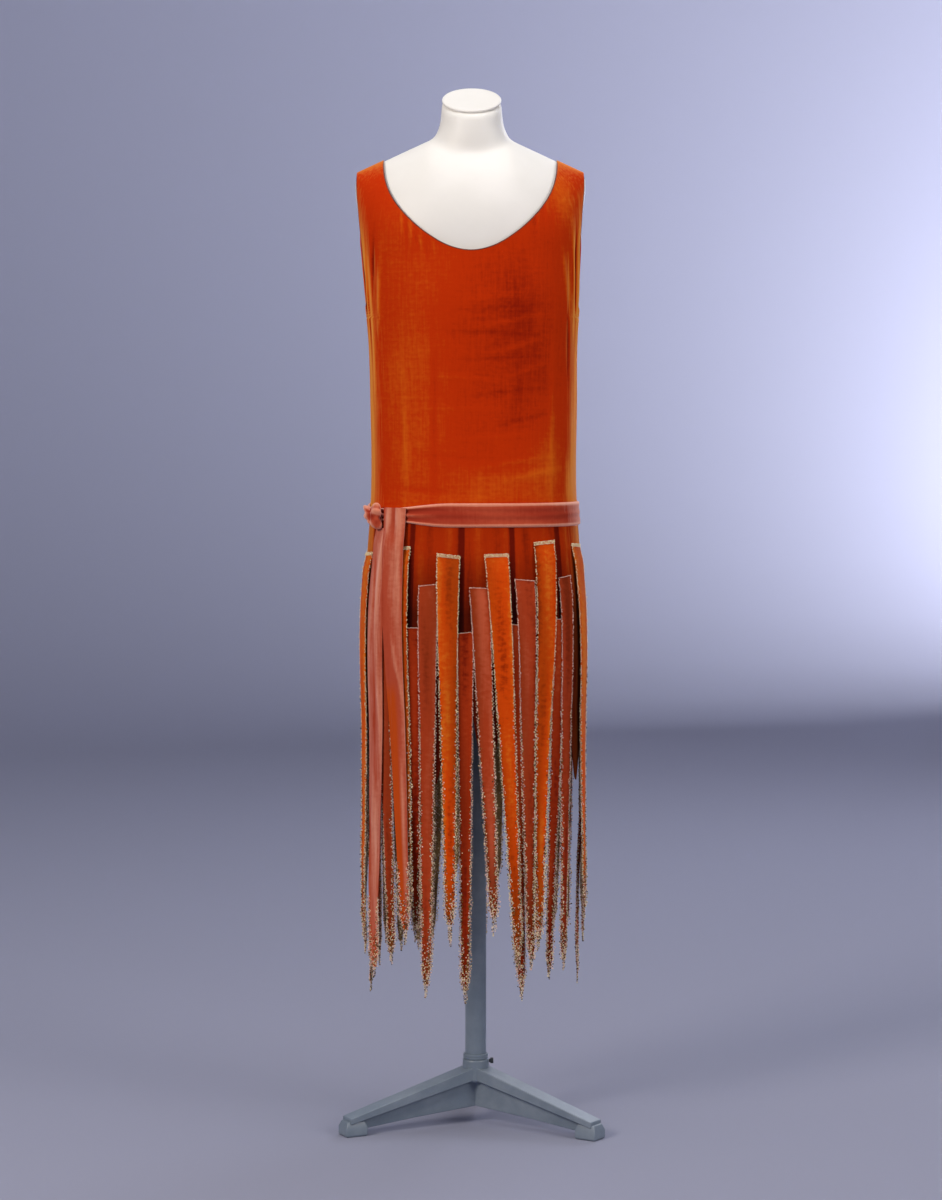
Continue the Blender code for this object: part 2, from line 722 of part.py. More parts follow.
def add_tails(home):
    """The sash's two hanging ends, each with one long fold."""
    for tail in TAILS:
        rows = []
        heights = [z for z in strip_heights(tail.top_z, tail.end_z) if z < tail.top_z - TAIL_BEND_ZONE]
        heights += [z for z in TAIL_BENDS if z < tail.top_z - LEAST_ROW]
        heights.append(tail.top_z)
        for z in sorted(set(heights)):
            fold = TAIL_FOLD * soft_step((tail.top_z - z) / TAIL_FOLD_RAMP)
            normal = outward(turn_of(tail.seat), z)
            swing = normal * swing_out(LAYERS["orange"], z)
            row = [point + swing for point in strip_row(tail, z, tail_out(tail, z), 0.0)]
            row[1] = row[1] + normal * fold
            rows.append(row)
        add_sheet(tail.name, rows, home, "velvet_pink")
        add_fringe("fringe_" + tail.name, (rows[0][0], rows[0][-1]), FRINGE_DROPS[tail.name], home)


def torso_mesh():
    """The form's body, closed along the shoulder line."""
    turns = [2.0 * j / TORSO_COLUMNS for j in range(TORSO_COLUMNS)]
    rings = [[form_point(turn, z) for turn in turns] for z in rising_heights(FORM_BOTTOM_Z, TORSO_RINGS)]
    mesh = loft_mesh("form_torso", rings)
    made = bmesh.new()
    made.from_mesh(mesh)
    made.faces.ensure_lookup_table()
    ends = [face for face in made.faces if len(face.verts) == TORSO_COLUMNS]
    top_face = max(ends, key=lambda face: min(vert.co.z for vert in face.verts))
    bmesh.ops.delete(made, geom=[top_face], context="FACES_ONLY")
    made.verts.ensure_lookup_table()
    first = (len(rings) - 1) * TORSO_COLUMNS
    quarter_turn = TORSO_COLUMNS // 4
    half_turn = TORSO_COLUMNS // 2
    for j in range(-quarter_turn, quarter_turn):
        ring = (j, j + 1, half_turn - j - 1, half_turn - j)
        corners = []
        for k in ring:
            vert = made.verts[first + k % TORSO_COLUMNS]
            if vert not in corners:
                corners.append(vert)
        made.faces.new(corners)
    made.to_mesh(mesh)
    made.free()
    face_outward(mesh)
    return mesh


NeckRing = namedtuple("NeckRing", "z half_width half_depth")
NECK_RINGS = [
    NeckRing(1.380, 0.0900, 0.0400),
    NeckRing(1.430, 0.0700, 0.0470),
    NeckRing(1.456, 0.0555, 0.0490),
    NeckRing(1.474, 0.0475, 0.0470),
]


def add_form(home):
    """The form: a torso with the neck joined to it, and the cap on the neck's sloping top."""
    torso = add_piece("form_torso", torso_mesh(), home, "form_white")
    rings = []
    for ring in NECK_RINGS:
        rings.append([neck_point(ring, 2.0 * math.pi * j / ROUND_SIDES) for j in range(ROUND_SIDES)])
    tip_z = CAP_CENTRE[2] - (CAP_THICKNESS / 2.0 + GAP) / math.cos(CAP_TILT)
    tip = NeckRing(tip_z, NECK_TIP_RADIUS, NECK_TIP_RADIUS)
    sloping = []
    for j in range(ROUND_SIDES):
        point = neck_point(tip, 2.0 * math.pi * j / ROUND_SIDES)
        point.z += (point.y - CAP_CENTRE[1]) * math.tan(CAP_TILT)
        sloping.append(point)
    rings.append(sloping)
    neck = add_piece("neck", loft_mesh("neck", rings), home, "form_white")
    fuse(torso, [neck])
    bpy.ops.mesh.primitive_cylinder_add(vertices=ROUND_SIDES, radius=CAP_RADIUS, depth=CAP_THICKNESS,
                                        location=CAP_CENTRE, rotation=(CAP_TILT, 0.0, 0.0))
    adopt(bpy.context.object, "form_neck_cap", home, "form_white")


def neck_point(ring, angle):
    """A point of an elliptic neck ring."""
    return Vector((CAP_CENTRE[0] + ring.half_width * math.sin(angle),
                   CAP_CENTRE[1] - ring.half_depth * math.cos(angle), ring.z))


def adopt(obj, name, home, finish_name):
    """Name a primitive, move it to the object's collection and finish it."""
    obj.name = name
    obj.data.name = name
    for owner in list(obj.users_collection):
        owner.objects.unlink(obj)
    home.objects.link(obj)
    dress_material(obj, finish_name)
    obj.data.shade_smooth()
    obj.data.set_sharp_from_angle(angle=SHARP_ANGLE)
    return obj


def add_cylinder(name, radius, low, high, home):
    """An upright round bar of the stand."""
    bpy.ops.mesh.primitive_cylinder_add(vertices=ROUND_SIDES, radius=radius, depth=high - low,
                                        location=(STAND_X, 0.0, (low + high) / 2.0))
    return adopt(bpy.context.object, name, home, "stand_grey")


LegRing = namedtuple("LegRing", "reach top flange_depth flange_width web_width bottom")
LEG_RINGS = [
    LegRing(0.006, 0.0880, 0.0300, 0.0310, 0.0180, 0.0260),
    LegRing(0.110, 0.0560, 0.0190, 0.0305, 0.0160, 0.0170),
    LegRing(0.210, 0.0270, 0.0110, 0.0290, 0.0140, 0.0060),
]


def add_leg(direction, home):
    """One cast leg: a broad top band over a thinner web, tapering to a foot block."""
    along = Vector((math.sin(direction), -math.cos(direction), 0.0))
    across = Vector((along.y, -along.x, 0.0))
    start = Vector((STAND_X, 0.0, 0.0))
    rings = []
    for ring in LEG_RINGS:
        flange = ring.flange_width / 2.0
        web = ring.web_width / 2.0
        low = ring.top - ring.flange_depth
        outline = ((-flange, ring.top), (flange, ring.top), (flange, low), (web, low),
                   (web, ring.bottom), (-web, ring.bottom), (-web, low), (-flange, low))
        place = start + along * ring.reach
        rings.append([place + across * side + Vector((0.0, 0.0, up)) for side, up in outline])
    leg = add_piece("leg", loft_mesh("leg", rings), home, "stand_grey")
    length, width, height = FOOT_SIZE
    bpy.ops.mesh.primitive_cube_add(size=1.0)
    foot = adopt(bpy.context.object, "foot", home, "stand_grey")
    turn = Matrix.Rotation(direction - math.pi / 2.0, 4, "Z")
    middle = start + along * (LEG_REACH - length / 2.0)
    place = Matrix.Translation(middle + Vector((0.0, 0.0, height / 2.0)))
    foot.data.transform(place @ turn @ Matrix.Diagonal((length, width, height, 1.0)))
    return fuse(leg, [foot])


def add_stand(home):
    """The stand: base with hub and three legs, collar, clamp screw and pole."""
    base = add_cylinder("stand_base", HUB_RADIUS, HUB_FOOT_Z, HUB_TOP_Z, home)
    third = math.radians(120.0)
    directions = (-third / 2.0 - LEG_TURN, third / 2.0 - LEG_TURN, math.pi - LEG_TURN)
    fuse(base, [add_leg(direction, home) for direction in directions])
    add_cylinder("stand_pole", POLE_RADIUS, HUB_TOP_Z + GAP, FORM_BOTTOM_Z - 2.0 * GAP, home)
    collar_low = HUB_TOP_Z + GAP
    inner = POLE_RADIUS + GAP
    profile = bpy.data.meshes.new("stand_collar")
    corners = [(COLLAR_RADIUS, collar_low + COLLAR_HEIGHT), (COLLAR_RADIUS, collar_low),
               (inner, collar_low), (inner, collar_low + COLLAR_HEIGHT)]
    profile.from_pydata([(x, 0.0, z) for x, z in corners], [(0, 1), (1, 2), (2, 3), (3, 0)], [])
    collar = add_piece("stand_collar", profile, home, "stand_grey")
    collar.location.x = STAND_X
    turned = collar.modifiers.new("turned", "SCREW")
    turned.steps = ROUND_SIDES
    turned.render_steps = ROUND_SIDES
    turned.use_merge_vertices = True
    turned.merge_threshold = WELD
    screw_x = STAND_X + COLLAR_RADIUS + GAP + SCREW_LENGTH / 2.0
    bpy.ops.mesh.primitive_cylinder_add(vertices=SCREW_SIDES, radius=SCREW_RADIUS, depth=SCREW_LENGTH,
                                        location=(screw_x, 0.0, collar_low + COLLAR_HEIGHT / 2.0),
                                        rotation=(0.0, math.pi / 2.0, 0.0))
    adopt(bpy.context.object, "stand_clamp_screw", home, "stand_grey")


def main():
    """Build the dress on its form."""
    clear_scene()
    home = new_collection("evening_dress_on_form")
    add_form(home)
    add_stand(home)
    for side in ("front", "back"):
        add_bodice(side, home)
        add_skirt(side, home)
    add_sash_band(home)
    add_knot(home)
    add_streamers(home)
    add_tails(home)
    for obj in home.objects:
        obj.location += Vector(AXIS_PLACE)


main()
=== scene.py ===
"""Looks of a low-waisted silk velvet evening dress with beaded streamers, on a limbless dress form.

Metres, +Z up, the front faces -Y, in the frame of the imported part.
A place on the body line is a turn (0 front middle, 0.5 a side, 1 back middle) and a height.
"""
from __future__ import annotations

import json
import logging
import math
from dataclasses import dataclass, field
from enum import Enum

import bpy
import numpy as np
from mathutils import Matrix, Vector

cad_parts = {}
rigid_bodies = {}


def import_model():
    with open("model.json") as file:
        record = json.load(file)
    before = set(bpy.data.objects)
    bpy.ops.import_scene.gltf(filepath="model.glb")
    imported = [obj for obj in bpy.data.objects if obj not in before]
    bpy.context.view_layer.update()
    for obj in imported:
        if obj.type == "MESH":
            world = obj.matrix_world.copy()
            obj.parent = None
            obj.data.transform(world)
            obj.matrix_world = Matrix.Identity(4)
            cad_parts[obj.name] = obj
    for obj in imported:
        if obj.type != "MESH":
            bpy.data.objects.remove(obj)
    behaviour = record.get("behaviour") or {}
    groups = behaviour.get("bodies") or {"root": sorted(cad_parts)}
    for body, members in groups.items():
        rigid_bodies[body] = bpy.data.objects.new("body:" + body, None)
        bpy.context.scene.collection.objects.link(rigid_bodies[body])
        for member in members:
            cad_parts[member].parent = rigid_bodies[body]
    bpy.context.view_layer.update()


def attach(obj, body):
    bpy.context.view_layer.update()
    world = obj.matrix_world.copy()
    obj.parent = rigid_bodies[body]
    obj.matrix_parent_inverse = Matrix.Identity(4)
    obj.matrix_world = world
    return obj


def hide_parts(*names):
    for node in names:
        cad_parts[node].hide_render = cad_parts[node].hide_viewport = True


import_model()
LOG = logging.getLogger("evening_dress")
BODY = "root"

# Cloth walls and the steps between layers, as in the part
GAP = 0.0003
CLOTH = 0.0012
SEAT_GAP = 0.0007
LAYER_STEP = CLOTH + SEAT_GAP
PANEL_OUTER = GAP + CLOTH

# Where the dress's upright axis stands from the middle of the stand's footprint
AXIS_PLACE = np.array((0.0033, -0.0422, 0.0))
STAND_MIDDLE = np.array((0.0063, -0.0422, 0.0))

# Heights of the dress; the shoulder line is drawn level and then sloped
SHOULDER_Z = 1.457
SHOULDER_ROUND_Z = 1.300
SHEAR_FROM_Z = 1.260
SHOULDER_SLOPE = 0.46
NECK_SIDE = 0.058
UNDERARM_Z = 1.195
HIP_SEAM_Z = 0.905
NOTCH_Z = 0.735
POINT_Z = 0.515
SWING_FROM_Z = 0.600
HIP_Z = 0.700
SECTION_ROUNDNESS = 2.4
SHOULDER_ROUNDNESS = 1.8

# Painted highlight on a crease's crest and painted shade in its trough: how much brighter or darker, for each
# metre of its height
CREASE_LIGHT_AND_SHADE = 200.0


class Side(Enum):
    """The two halves of the dress."""

    FRONT = "front"
    BACK = "back"


class Layer(Enum):
    """The three layers of streamers, from the skirt outward."""

    ROSE = "rose"
    PINK = "pink"
    ORANGE = "orange"


class BeadTone(Enum):
    """Ranges of the bead colour value: what a row of beads is threaded from."""

    MIXED = (0.00, 1.00)
    CREAM_GOLD = (0.62, 0.74)
    PALE_ROSE = (0.76, 0.88)


def linear(colour: str) -> tuple[float, float, float, float]:
    """Turn an sRGB hex colour into the linear one that shaders take.

    Args:
        colour: Six hex digits with a leading #.

    Returns:
        Red, green, blue and alpha.
    """
    parts = [int(colour[i:i + 2], 16) / 255.0 for i in (1, 3, 5)]
    return tuple(p / 12.92 if p <= 0.04045 else ((p + 0.055) / 1.055) ** 2.4 for p in parts) + (1.0,)


def soft_step(value: np.ndarray | float) -> np.ndarray:
    """A soft step from 0 to 1."""
    clamped = np.clip(value, 0.0, 1.0)
    return clamped * clamped * (3.0 - 2.0 * clamped)


def hermite(at: np.ndarray | float, places: np.ndarray, values: np.ndarray) -> np.ndarray:
    """Read a table on a smooth curve through its rows.

    Args:
        at: Where to read.
        places: The rows' places, rising.
        values: The rows' values.

    Returns:
        The values there, level at both ends of the table.
    """
    slopes = np.zeros(len(places))
    slopes[1:-1] = (values[2:] - values[:-2]) / (places[2:] - places[:-2])
    at = np.clip(at, places[0], places[-1])
    k = np.clip(np.searchsorted(places, at) - 1, 0, len(places) - 2)
    step = places[k + 1] - places[k]
    t = (at - places[k]) / step
    start = (2 * t**3 - 3 * t**2 + 1) * values[k] + (t**3 - 2 * t**2 + t) * step * slopes[k]
    return start + (3 * t**2 - 2 * t**3) * values[k + 1] + (t**3 - t**2) * step * slopes[k + 1]


def add_node(material: bpy.types.Material, kind: str, links: dict | None = None,
             **settings) -> bpy.types.Node:
    """Add a shader node.

    Args:
        material: The material it goes in.
        kind: The node's type name without its ShaderNode prefix.
        links: Output sockets by the name or number of the input that they feed.
        settings: Values by property name, or by input name with spaces as underscores.

    Returns:
        The node.
    """
    tree = material.node_tree
    made = tree.nodes.new("ShaderNode" + kind)
    for name, value in settings.items():
        socket = name.replace("_", " ")
        if hasattr(made, name):
            setattr(made, name, value)
        else:
            made.inputs[socket].default_value = value
    for name, output in (links or {}).items():
        tree.links.new(output, made.inputs[name])
    return made


def add_ramp(material: bpy.types.Material, value: bpy.types.NodeSocket, stops: list[tuple[float, str]],
             hard: bool = False) -> bpy.types.NodeSocket:
    """Add a colour ramp.

    Args:
        material: The material it goes in.
        value: What it reads.
        stops: Places and sRGB hex colours.
        hard: Whether the colour jumps at each stop.

    Returns:
        The colour.
    """
    ramp = add_node(material, "ValToRGB", {"Fac": value})
    band = ramp.color_ramp
    band.interpolation = "CONSTANT" if hard else "EASE"
    while len(band.elements) < len(stops):
        band.elements.new(1.0)
    for element, (place, colour) in zip(band.elements, stops):
        element.position = place
        element.color = linear(colour)
    return ramp.outputs[0]


def add_relief(material: bpy.types.Material, height: bpy.types.NodeSocket, strength: float,
               depth: float) -> bpy.types.NodeSocket:
    """Add a bump and give its normal: height is a value, depth its real depth in metres."""
    return add_node(material, "Bump", {"Height": height}, Strength=strength, Distance=depth).outputs[0]


def finish_shader(material: bpy.types.Material, shader: bpy.types.Node, links: dict | None = None,
                  **settings: float) -> bpy.types.Material:
    """Set the Principled shader's sockets.

    Args:
        material: The material.
        shader: Its shader.
        links: Output sockets by the name of the input that they feed.
        settings: Values by input name, with spaces as underscores.

    Returns:
        The material.
    """
    for name, output in (links or {}).items():
        material.node_tree.links.new(output, shader.inputs[name])
    for name, value in settings.items():
        shader.inputs[name.replace("_", " ")].default_value = value
    return material


class Finish:
    """What all finishes share: an empty material with its shader."""

    name: str

    def start(self) -> tuple[bpy.types.Material, bpy.types.Node]:
        """Make the material.

        Returns:
            The material and its Principled shader.
        """
        material = bpy.data.materials.new(self.name)
        material.use_nodes = True
        return material, material.node_tree.nodes["Principled BSDF"]


@dataclass(frozen=True)
class SilkVelvet(Finish):
    """Silk velvet: a woven ground with a cut pile that leans, deep face on, with a painted golden sheen where
    it turns from view.

    The pile's rows are 0.3 mm apart, too fine to show. What shows is the crush, a few centimetres wide, fine
    ribs, and two attributes of the mesh. One is how bright the cloth is painted: pile tone, and painted
    highlights and shade on creases, folds and edges. The other is turned, where the pile lies otherwise,
    which on the streamers partly stands in for painted shade from the strips over them. Where shade_to_z is
    set, painted shade darkens the colour towards the foot.
    """

    name: str
    deep: str
    middle: str
    bright: str
    # The colour of the painted sheen where the cloth turns from view; also the tint of the shader's sheen
    edge: str
    sheen_from: float = 0.45
    sheen_amount: float = 0.85
    rib_spacing: float = 0.0032
    rib_length: float = 0.045
    crush_size: float = 0.055
    mottle_size: float = 0.008
    cross_size: tuple[float, float, float] = (0.05, 0.05, 0.0035)
    rib_share: float = 0.15
    crush_share: float = 0.13
    mottle_share: float = 0.15
    cross_share: float = 0.0
    strand_share: float = 0.0
    tone_span: float = 0.30
    nap_depth: float = 0.0006
    mottle_relief: float = 0.9
    crush_relief: float = 1.2
    nap_glow: float = 0.45
    rib_glow: float = 0.35
    glow_start: float = 0.15
    glow_full: float = 1.25
    turned: str = "#A84010"
    shade_from_z: float = 0.0
    shade_to_z: float = -1.0
    shaded_share: float = 0.22

    def make(self) -> bpy.types.Material:
        """Build the material.

        Returns:
            The material.
        """
        material, shader = self.start()
        place = add_node(material, "TexCoord").outputs["Object"]
        ribs = self.noise(material, place, (self.rib_spacing, self.rib_spacing, self.rib_length), 2.0)
        crush, mottle = [
            self.noise(material, place, (size, size, stretch * size), detail)
            for size, stretch, detail in ((self.crush_size, 1.6, 2.0), (self.mottle_size, 0.6, 3.0))]
        cross = self.noise(material, place, self.cross_size, 1.0)
        shares = (self.rib_share, self.crush_share, self.mottle_share, self.cross_share)
        tone = self.total(material, tuple(zip((ribs, crush, mottle, cross), shares)))
        nap_and_light = add_node(material, "Attribute", attribute_name="nap_and_light").outputs["Fac"]
        strand = add_node(material, "ObjectInfo").outputs["Random"]
        tone = self.total(material, ((tone, 1.0), (nap_and_light, 1.0), (strand, self.strand_share)))
        middle = 0.5 * (sum(shares) + self.strand_share)
        tone = add_node(material, "MapRange", {"Value": tone}, From_Min=middle - self.tone_span,
                        From_Max=middle + self.tone_span).outputs[0]
        pile = add_ramp(material, tone, [(0.0, self.deep), (0.5, self.middle), (1.0, self.bright)])
        pile_turn_and_shade = add_node(material, "Attribute", attribute_name="turned").outputs["Fac"]
        ground = add_node(material, "Mix", {0: pile_turn_and_shade, 6: pile}, data_type="RGBA")
        ground.inputs[7].default_value = linear(self.turned)
        # Painted sheen: the colour turns towards the edge colour where the surface faces away from the view,
        # more on the ribs and where the cloth is painted bright
        facing = add_node(material, "LayerWeight", Blend=0.5).outputs["Facing"]
        glow = self.total(material, ((facing, 1.0), (ribs, self.rib_glow), (nap_and_light, self.nap_glow)))
        glow = add_node(material, "MapRange", {"Value": glow}, From_Min=self.sheen_from + self.glow_start,
                        From_Max=self.glow_full, To_Max=self.sheen_amount).outputs[0]
        colour = add_node(material, "Mix", {0: glow, 6: ground.outputs[2]}, data_type="RGBA")
        colour.inputs[7].default_value = linear(self.edge)
        shown = colour.outputs[2]
        # Painted shade: the colour darkens towards the foot, under the strips that hang over the skirt
        if self.shade_to_z > 0.0:
            height = add_node(material, "SeparateXYZ", {0: place}).outputs["Z"]
            shade = add_node(material, "MapRange", {"Value": height}, From_Min=self.shade_to_z,
                             From_Max=self.shade_from_z, To_Min=self.shaded_share, To_Max=1.0).outputs[0]
            shown = add_node(material, "VectorMath", {0: shown, 1: shade}, operation="MULTIPLY").outputs[0]
        parts = ((ribs, 1.0), (mottle, self.mottle_relief), (crush, self.crush_relief))
        relief = add_relief(material, self.total(material, parts), 0.6, self.nap_depth)
        return finish_shader(material, shader, {"Base Color": shown, "Normal": relief}, Roughness=0.80,
                             Specular_IOR_Level=0.06, Sheen_Weight=0.14, Sheen_Roughness=0.35,
                             Sheen_Tint=linear(self.edge))

    @staticmethod
    def noise(material: bpy.types.Material, place: bpy.types.NodeSocket, size: tuple[float, float, float],
              detail: float) -> bpy.types.NodeSocket:
        """Add a noise whose patches have a real size.

        Args:
            material: The material.
            place: The texture place.
            size: The patches' size along the three axes, in metres.
            detail: The noise's detail.

        Returns:
            The noise's value.
        """
        scale = tuple(1.0 / length for length in size)
        scaled = add_node(material, "Mapping", {"Vector": place}, Scale=scale)
        noise = add_node(material, "TexNoise", {"Vector": scaled.outputs[0]}, Scale=1.0, Detail=detail)
        return noise.outputs[0]

    @staticmethod
    def total(material: bpy.types.Material, parts: tuple) -> bpy.types.NodeSocket:
        """Add values up, each by its weight.

        Args:
            material: The material.
            parts: Pairs of a value's socket and its weight.

        Returns:
            The sum.
        """
        total = None
        for value, weight in parts:
            step = add_node(material, "Math", {0: value}, operation="MULTIPLY_ADD")
            step.inputs[1].default_value = weight
            step.inputs[2].default_value = 0.0
            if total is not None:
                material.node_tree.links.new(total, step.inputs[2])
            total = step.outputs[0]
        return total


@dataclass(frozen=True)
class ClothReverse(Finish):
    """The velvet's woven ground seen from inside: a plain silk weave, nearly matt and a little cloudy."""

    name: str
    thread: str
    shade: str
    weave_spacing: float = 0.0015
    clouds_a_metre: float = 28.0

    def make(self) -> bpy.types.Material:
        """Build the material.

        Returns:
            The material.
        """
        material, shader = self.start()
        place = add_node(material, "TexCoord").outputs["Object"]
        threads = add_node(material, "TexNoise", {"Vector": place}, Scale=1.0 / self.weave_spacing,
                           Detail=2.0)
        cloud = add_node(material, "TexNoise", {"Vector": place}, Scale=self.clouds_a_metre, Detail=3.0)
        blend = add_node(material, "Math", {0: threads.outputs[0], 1: cloud.outputs[0]}, operation="ADD")
        tone = add_node(material, "MapRange", {"Value": blend.outputs[0]}, From_Min=0.7, From_Max=1.3)
        ground = add_ramp(material, tone.outputs[0], [(0.0, self.shade), (1.0, self.thread)])
        relief = add_relief(material, threads.outputs[0], 0.3, 0.0003)
        return finish_shader(material, shader, {"Base Color": ground, "Normal": relief}, Roughness=0.72,
                             Sheen_Weight=0.25)


@dataclass(frozen=True)
class SeedBeads(Finish):
    """Glass seed beads, fire polished: clear ones and ones lined with gold, amber or rose, each with a glint.

    The ramp's steps are the threads' beads, which BeadTone picks from.
    """

    name: str

    def make(self) -> bpy.types.Material:
        """Build the material.

        Returns:
            The material.
        """
        material, shader = self.start()
        tone = add_node(material, "Attribute", attribute_name="bead_tone")
        glass = add_ramp(material, tone.outputs["Fac"], [
            (0.00, "#4E3A1E"), (0.16, "#8A6430"), (0.31, "#ECD8AE"), (0.47, "#C8BAB2"),
            (0.60, "#F8E4B6"), (0.75, "#F8D0BC"), (0.89, "#9C6E34")], hard=True)
        return finish_shader(material, shader, {"Base Color": glass}, Roughness=0.24, IOR=1.51,
                             Specular_IOR_Level=0.5, Transmission_Weight=0.12)


@dataclass(frozen=True)
class FormSkin(Finish):
    """Glass fibre sprayed with matt white lacquer: an even, very fine orange peel and soft highlights."""

    name: str
    paint: str
    shade: str
    clouds_a_metre: float = 9.0
    peel_a_metre: float = 650.0

    def make(self) -> bpy.types.Material:
        """Build the material.

        Returns:
            The material.
        """
        material, shader = self.start()
        place = add_node(material, "TexCoord").outputs["Object"]
        cloud = add_node(material, "TexNoise", {"Vector": place}, Scale=self.clouds_a_metre, Detail=4.0)
        lacquer = add_ramp(material, cloud.outputs[0], [(0.3, self.shade), (0.7, self.paint)])
        peel = add_node(material, "TexNoise", {"Vector": place}, Scale=self.peel_a_metre, Detail=2.0)
        relief = add_relief(material, peel.outputs[0], 0.12, 0.0003)
        sockets = {"Base Color": lacquer, "Normal": relief}
        return finish_shader(material, shader, sockets, Roughness=0.5, IOR=1.46)


@dataclass(frozen=True)
class StandPaint(Finish):
    """Stove enamel on cast iron and steel tube: blue grey, half gloss, with faint lighter worn clouds."""

    name: str
    paint: str
    worn: str
    grain: float = 0.0012
    clouds_a_metre: float = 14.0

    def make(self) -> bpy.types.Material:
        """Build the material.

        Returns:
            The material.
        """
        material, shader = self.start()
        place = add_node(material, "TexCoord").outputs["Object"]
        cloud = add_node(material, "TexNoise", {"Vector": place}, Scale=self.clouds_a_metre, Detail=6.0,
                         Roughness=0.65)
        enamel = add_ramp(material, cloud.outputs[0], [(0.35, self.paint), (0.8, self.worn)])
        grain = add_node(material, "TexNoise", {"Vector": place}, Scale=1.0 / self.grain, Detail=2.0)
        relief = add_relief(material, grain.outputs[0], 0.18, 0.0003)
        gloss = add_node(material, "MapRange", {"Value": cloud.outputs[0]}, To_Min=0.32, To_Max=0.5)
        sockets = {"Base Color": enamel, "Normal": relief, "Roughness": gloss.outputs[0]}
        return finish_shader(material, shader, sockets, IOR=1.52)


@dataclass(frozen=True)
class StagePaper(Finish):
    """Seamless background paper: even, matt and pale."""

    name: str
    colour: str

    def make(self) -> bpy.types.Material:
        """Build the material.

        Returns:
            The material.
        """
        material, shader = self.start()
        return finish_shader(material, shader, Base_Color=linear(self.colour), Roughness=0.95,
                             Specular_IOR_Level=0.1)


class Wardrobe:
    """Every finish of the object, made once."""

    def __init__(self) -> None:
        """Make the materials."""
        self.bodice = SilkVelvet("silk_velvet_orange", "#861400", "#C23000", "#D8600E", "#F0A248",
                                 cross_share=0.075, nap_glow=0.6).make()
        self.skirt = SilkVelvet("silk_velvet_skirt", "#6A1000", "#AC2C00", "#C84E0C", "#EC9A40",
                                shade_from_z=0.860, shade_to_z=0.765).make()
        self.sash = SilkVelvet("silk_velvet_sash", "#A03420", "#B84C32", "#D88468", "#F6BCAA",
                               sheen_from=0.3, turned="#C24A14").make()
        self.velvet = {
            Layer.ORANGE: SilkVelvet("silk_velvet_orange_strip", "#922200", "#D84804", "#E4761C", "#E8883A",
                                     sheen_amount=0.4, mottle_share=0.44, strand_share=0.20,
                                     turned="#8A3A06").make(),
            Layer.PINK: SilkVelvet("silk_velvet_pink_strip", "#82260C", "#AE3E1C", "#C25838", "#ECA48C",
                                   sheen_amount=0.6, mottle_share=0.34, strand_share=0.20,
                                   turned="#7A2E0E").make(),
            Layer.ROSE: SilkVelvet("silk_velvet_rose_strip", "#6E1202", "#A6320E", "#C04C22", "#E89070",
                                   sheen_amount=0.5, mottle_share=0.40, strand_share=0.26,
                                   turned="#6A1A04").make(),
        }
        self.reverse = ClothReverse("silk_ground_olive", "#9A7A44", "#6A4E28").make()
        self.lining = ClothReverse("silk_ground_rust", "#7A3A1C", "#4E1E0E").make()
        self.beads = SeedBeads("glass_seed_beads").make()
        self.form = FormSkin("matt_lacquer_white", "#F2F0EC", "#EBE9E4").make()
        self.stand = StandPaint("stove_enamel_blue_grey", "#72808F", "#8A96A4").make()
        self.steel = StandPaint("blackened_steel", "#2C3138", "#454B54").make()
        self.paper = StagePaper("background_paper_pale", "#9497AB").make()


class SectionTable:
    """Rounded sections of a body, read at a turn by equal arc length."""

    UPRIGHT_ROWS = 231
    SHOULDER_ROWS = 91
    ANGLES = 241
    ARC_STEPS = 161

    def __init__(self, half_width, half_depth, low: float = 0.15) -> None:
        """Work out the sections.

        Args:
            half_width: A function from heights to half widths.
            half_depth: A function from heights to half depths.
            low: The lowest height.
        """
        rising = np.linspace(low, SHOULDER_ROUND_Z, self.UPRIGHT_ROWS)
        quarter = np.linspace(0.0, math.pi / 2.0, self.SHOULDER_ROWS)[1:]
        rounding = (SHOULDER_Z - SHOULDER_ROUND_Z) * np.sin(quarter)
        self.heights = np.concatenate([rising, SHOULDER_ROUND_Z + rounding])
        angles = np.linspace(0.0, math.pi / 2.0, self.ANGLES)
        shares = np.linspace(0.0, 1.0, self.ARC_STEPS)
        width, depth = half_width(self.heights), half_depth(self.heights)
        self.x, self.y, self.length = [], [], []
        for a, b in zip(width, depth):
            x = a * np.sin(angles) ** (2.0 / SECTION_ROUNDNESS)
            y = -b * np.cos(angles) ** (2.0 / SECTION_ROUNDNESS)
            arc = np.concatenate([[0.0], np.cumsum(np.hypot(np.diff(x), np.diff(y)))])
            self.x.append(np.interp(shares * arc[-1], arc, x))
            self.y.append(np.interp(shares * arc[-1], arc, y))
            self.length.append(arc[-1])
        self.x, self.y, self.length = np.array(self.x), np.array(self.y), np.array(self.length)

    def read(self, turn: np.ndarray, z: np.ndarray) -> tuple[np.ndarray, np.ndarray]:
        """Read the section's points.

        Args:
            turn: Turns round the body.
            z: Heights.

        Returns:
            The points' x and y.
        """
        turn = (np.asarray(turn, float) + 1.0) % 2.0 - 1.0
        share = np.abs(turn) * 2.0
        place = np.where(share <= 1.0, share, 2.0 - share) * (self.x.shape[1] - 1)
        row = np.interp(z, self.heights, np.arange(len(self.heights)))
        i = np.clip(row.astype(int), 0, self.x.shape[0] - 2)
        j = np.clip(place.astype(int), 0, self.x.shape[1] - 2)
        u, v = place - j, row - i
        found = []
        for table in (self.x, self.y):
            low = table[i, j] * (1.0 - u) + table[i, j + 1] * u
            high = table[i + 1, j] * (1.0 - u) + table[i + 1, j + 1] * u
            found.append(low * (1.0 - v) + high * v)
        return np.where(turn < 0.0, -found[0], found[0]), np.where(share <= 1.0, found[1], -found[1])


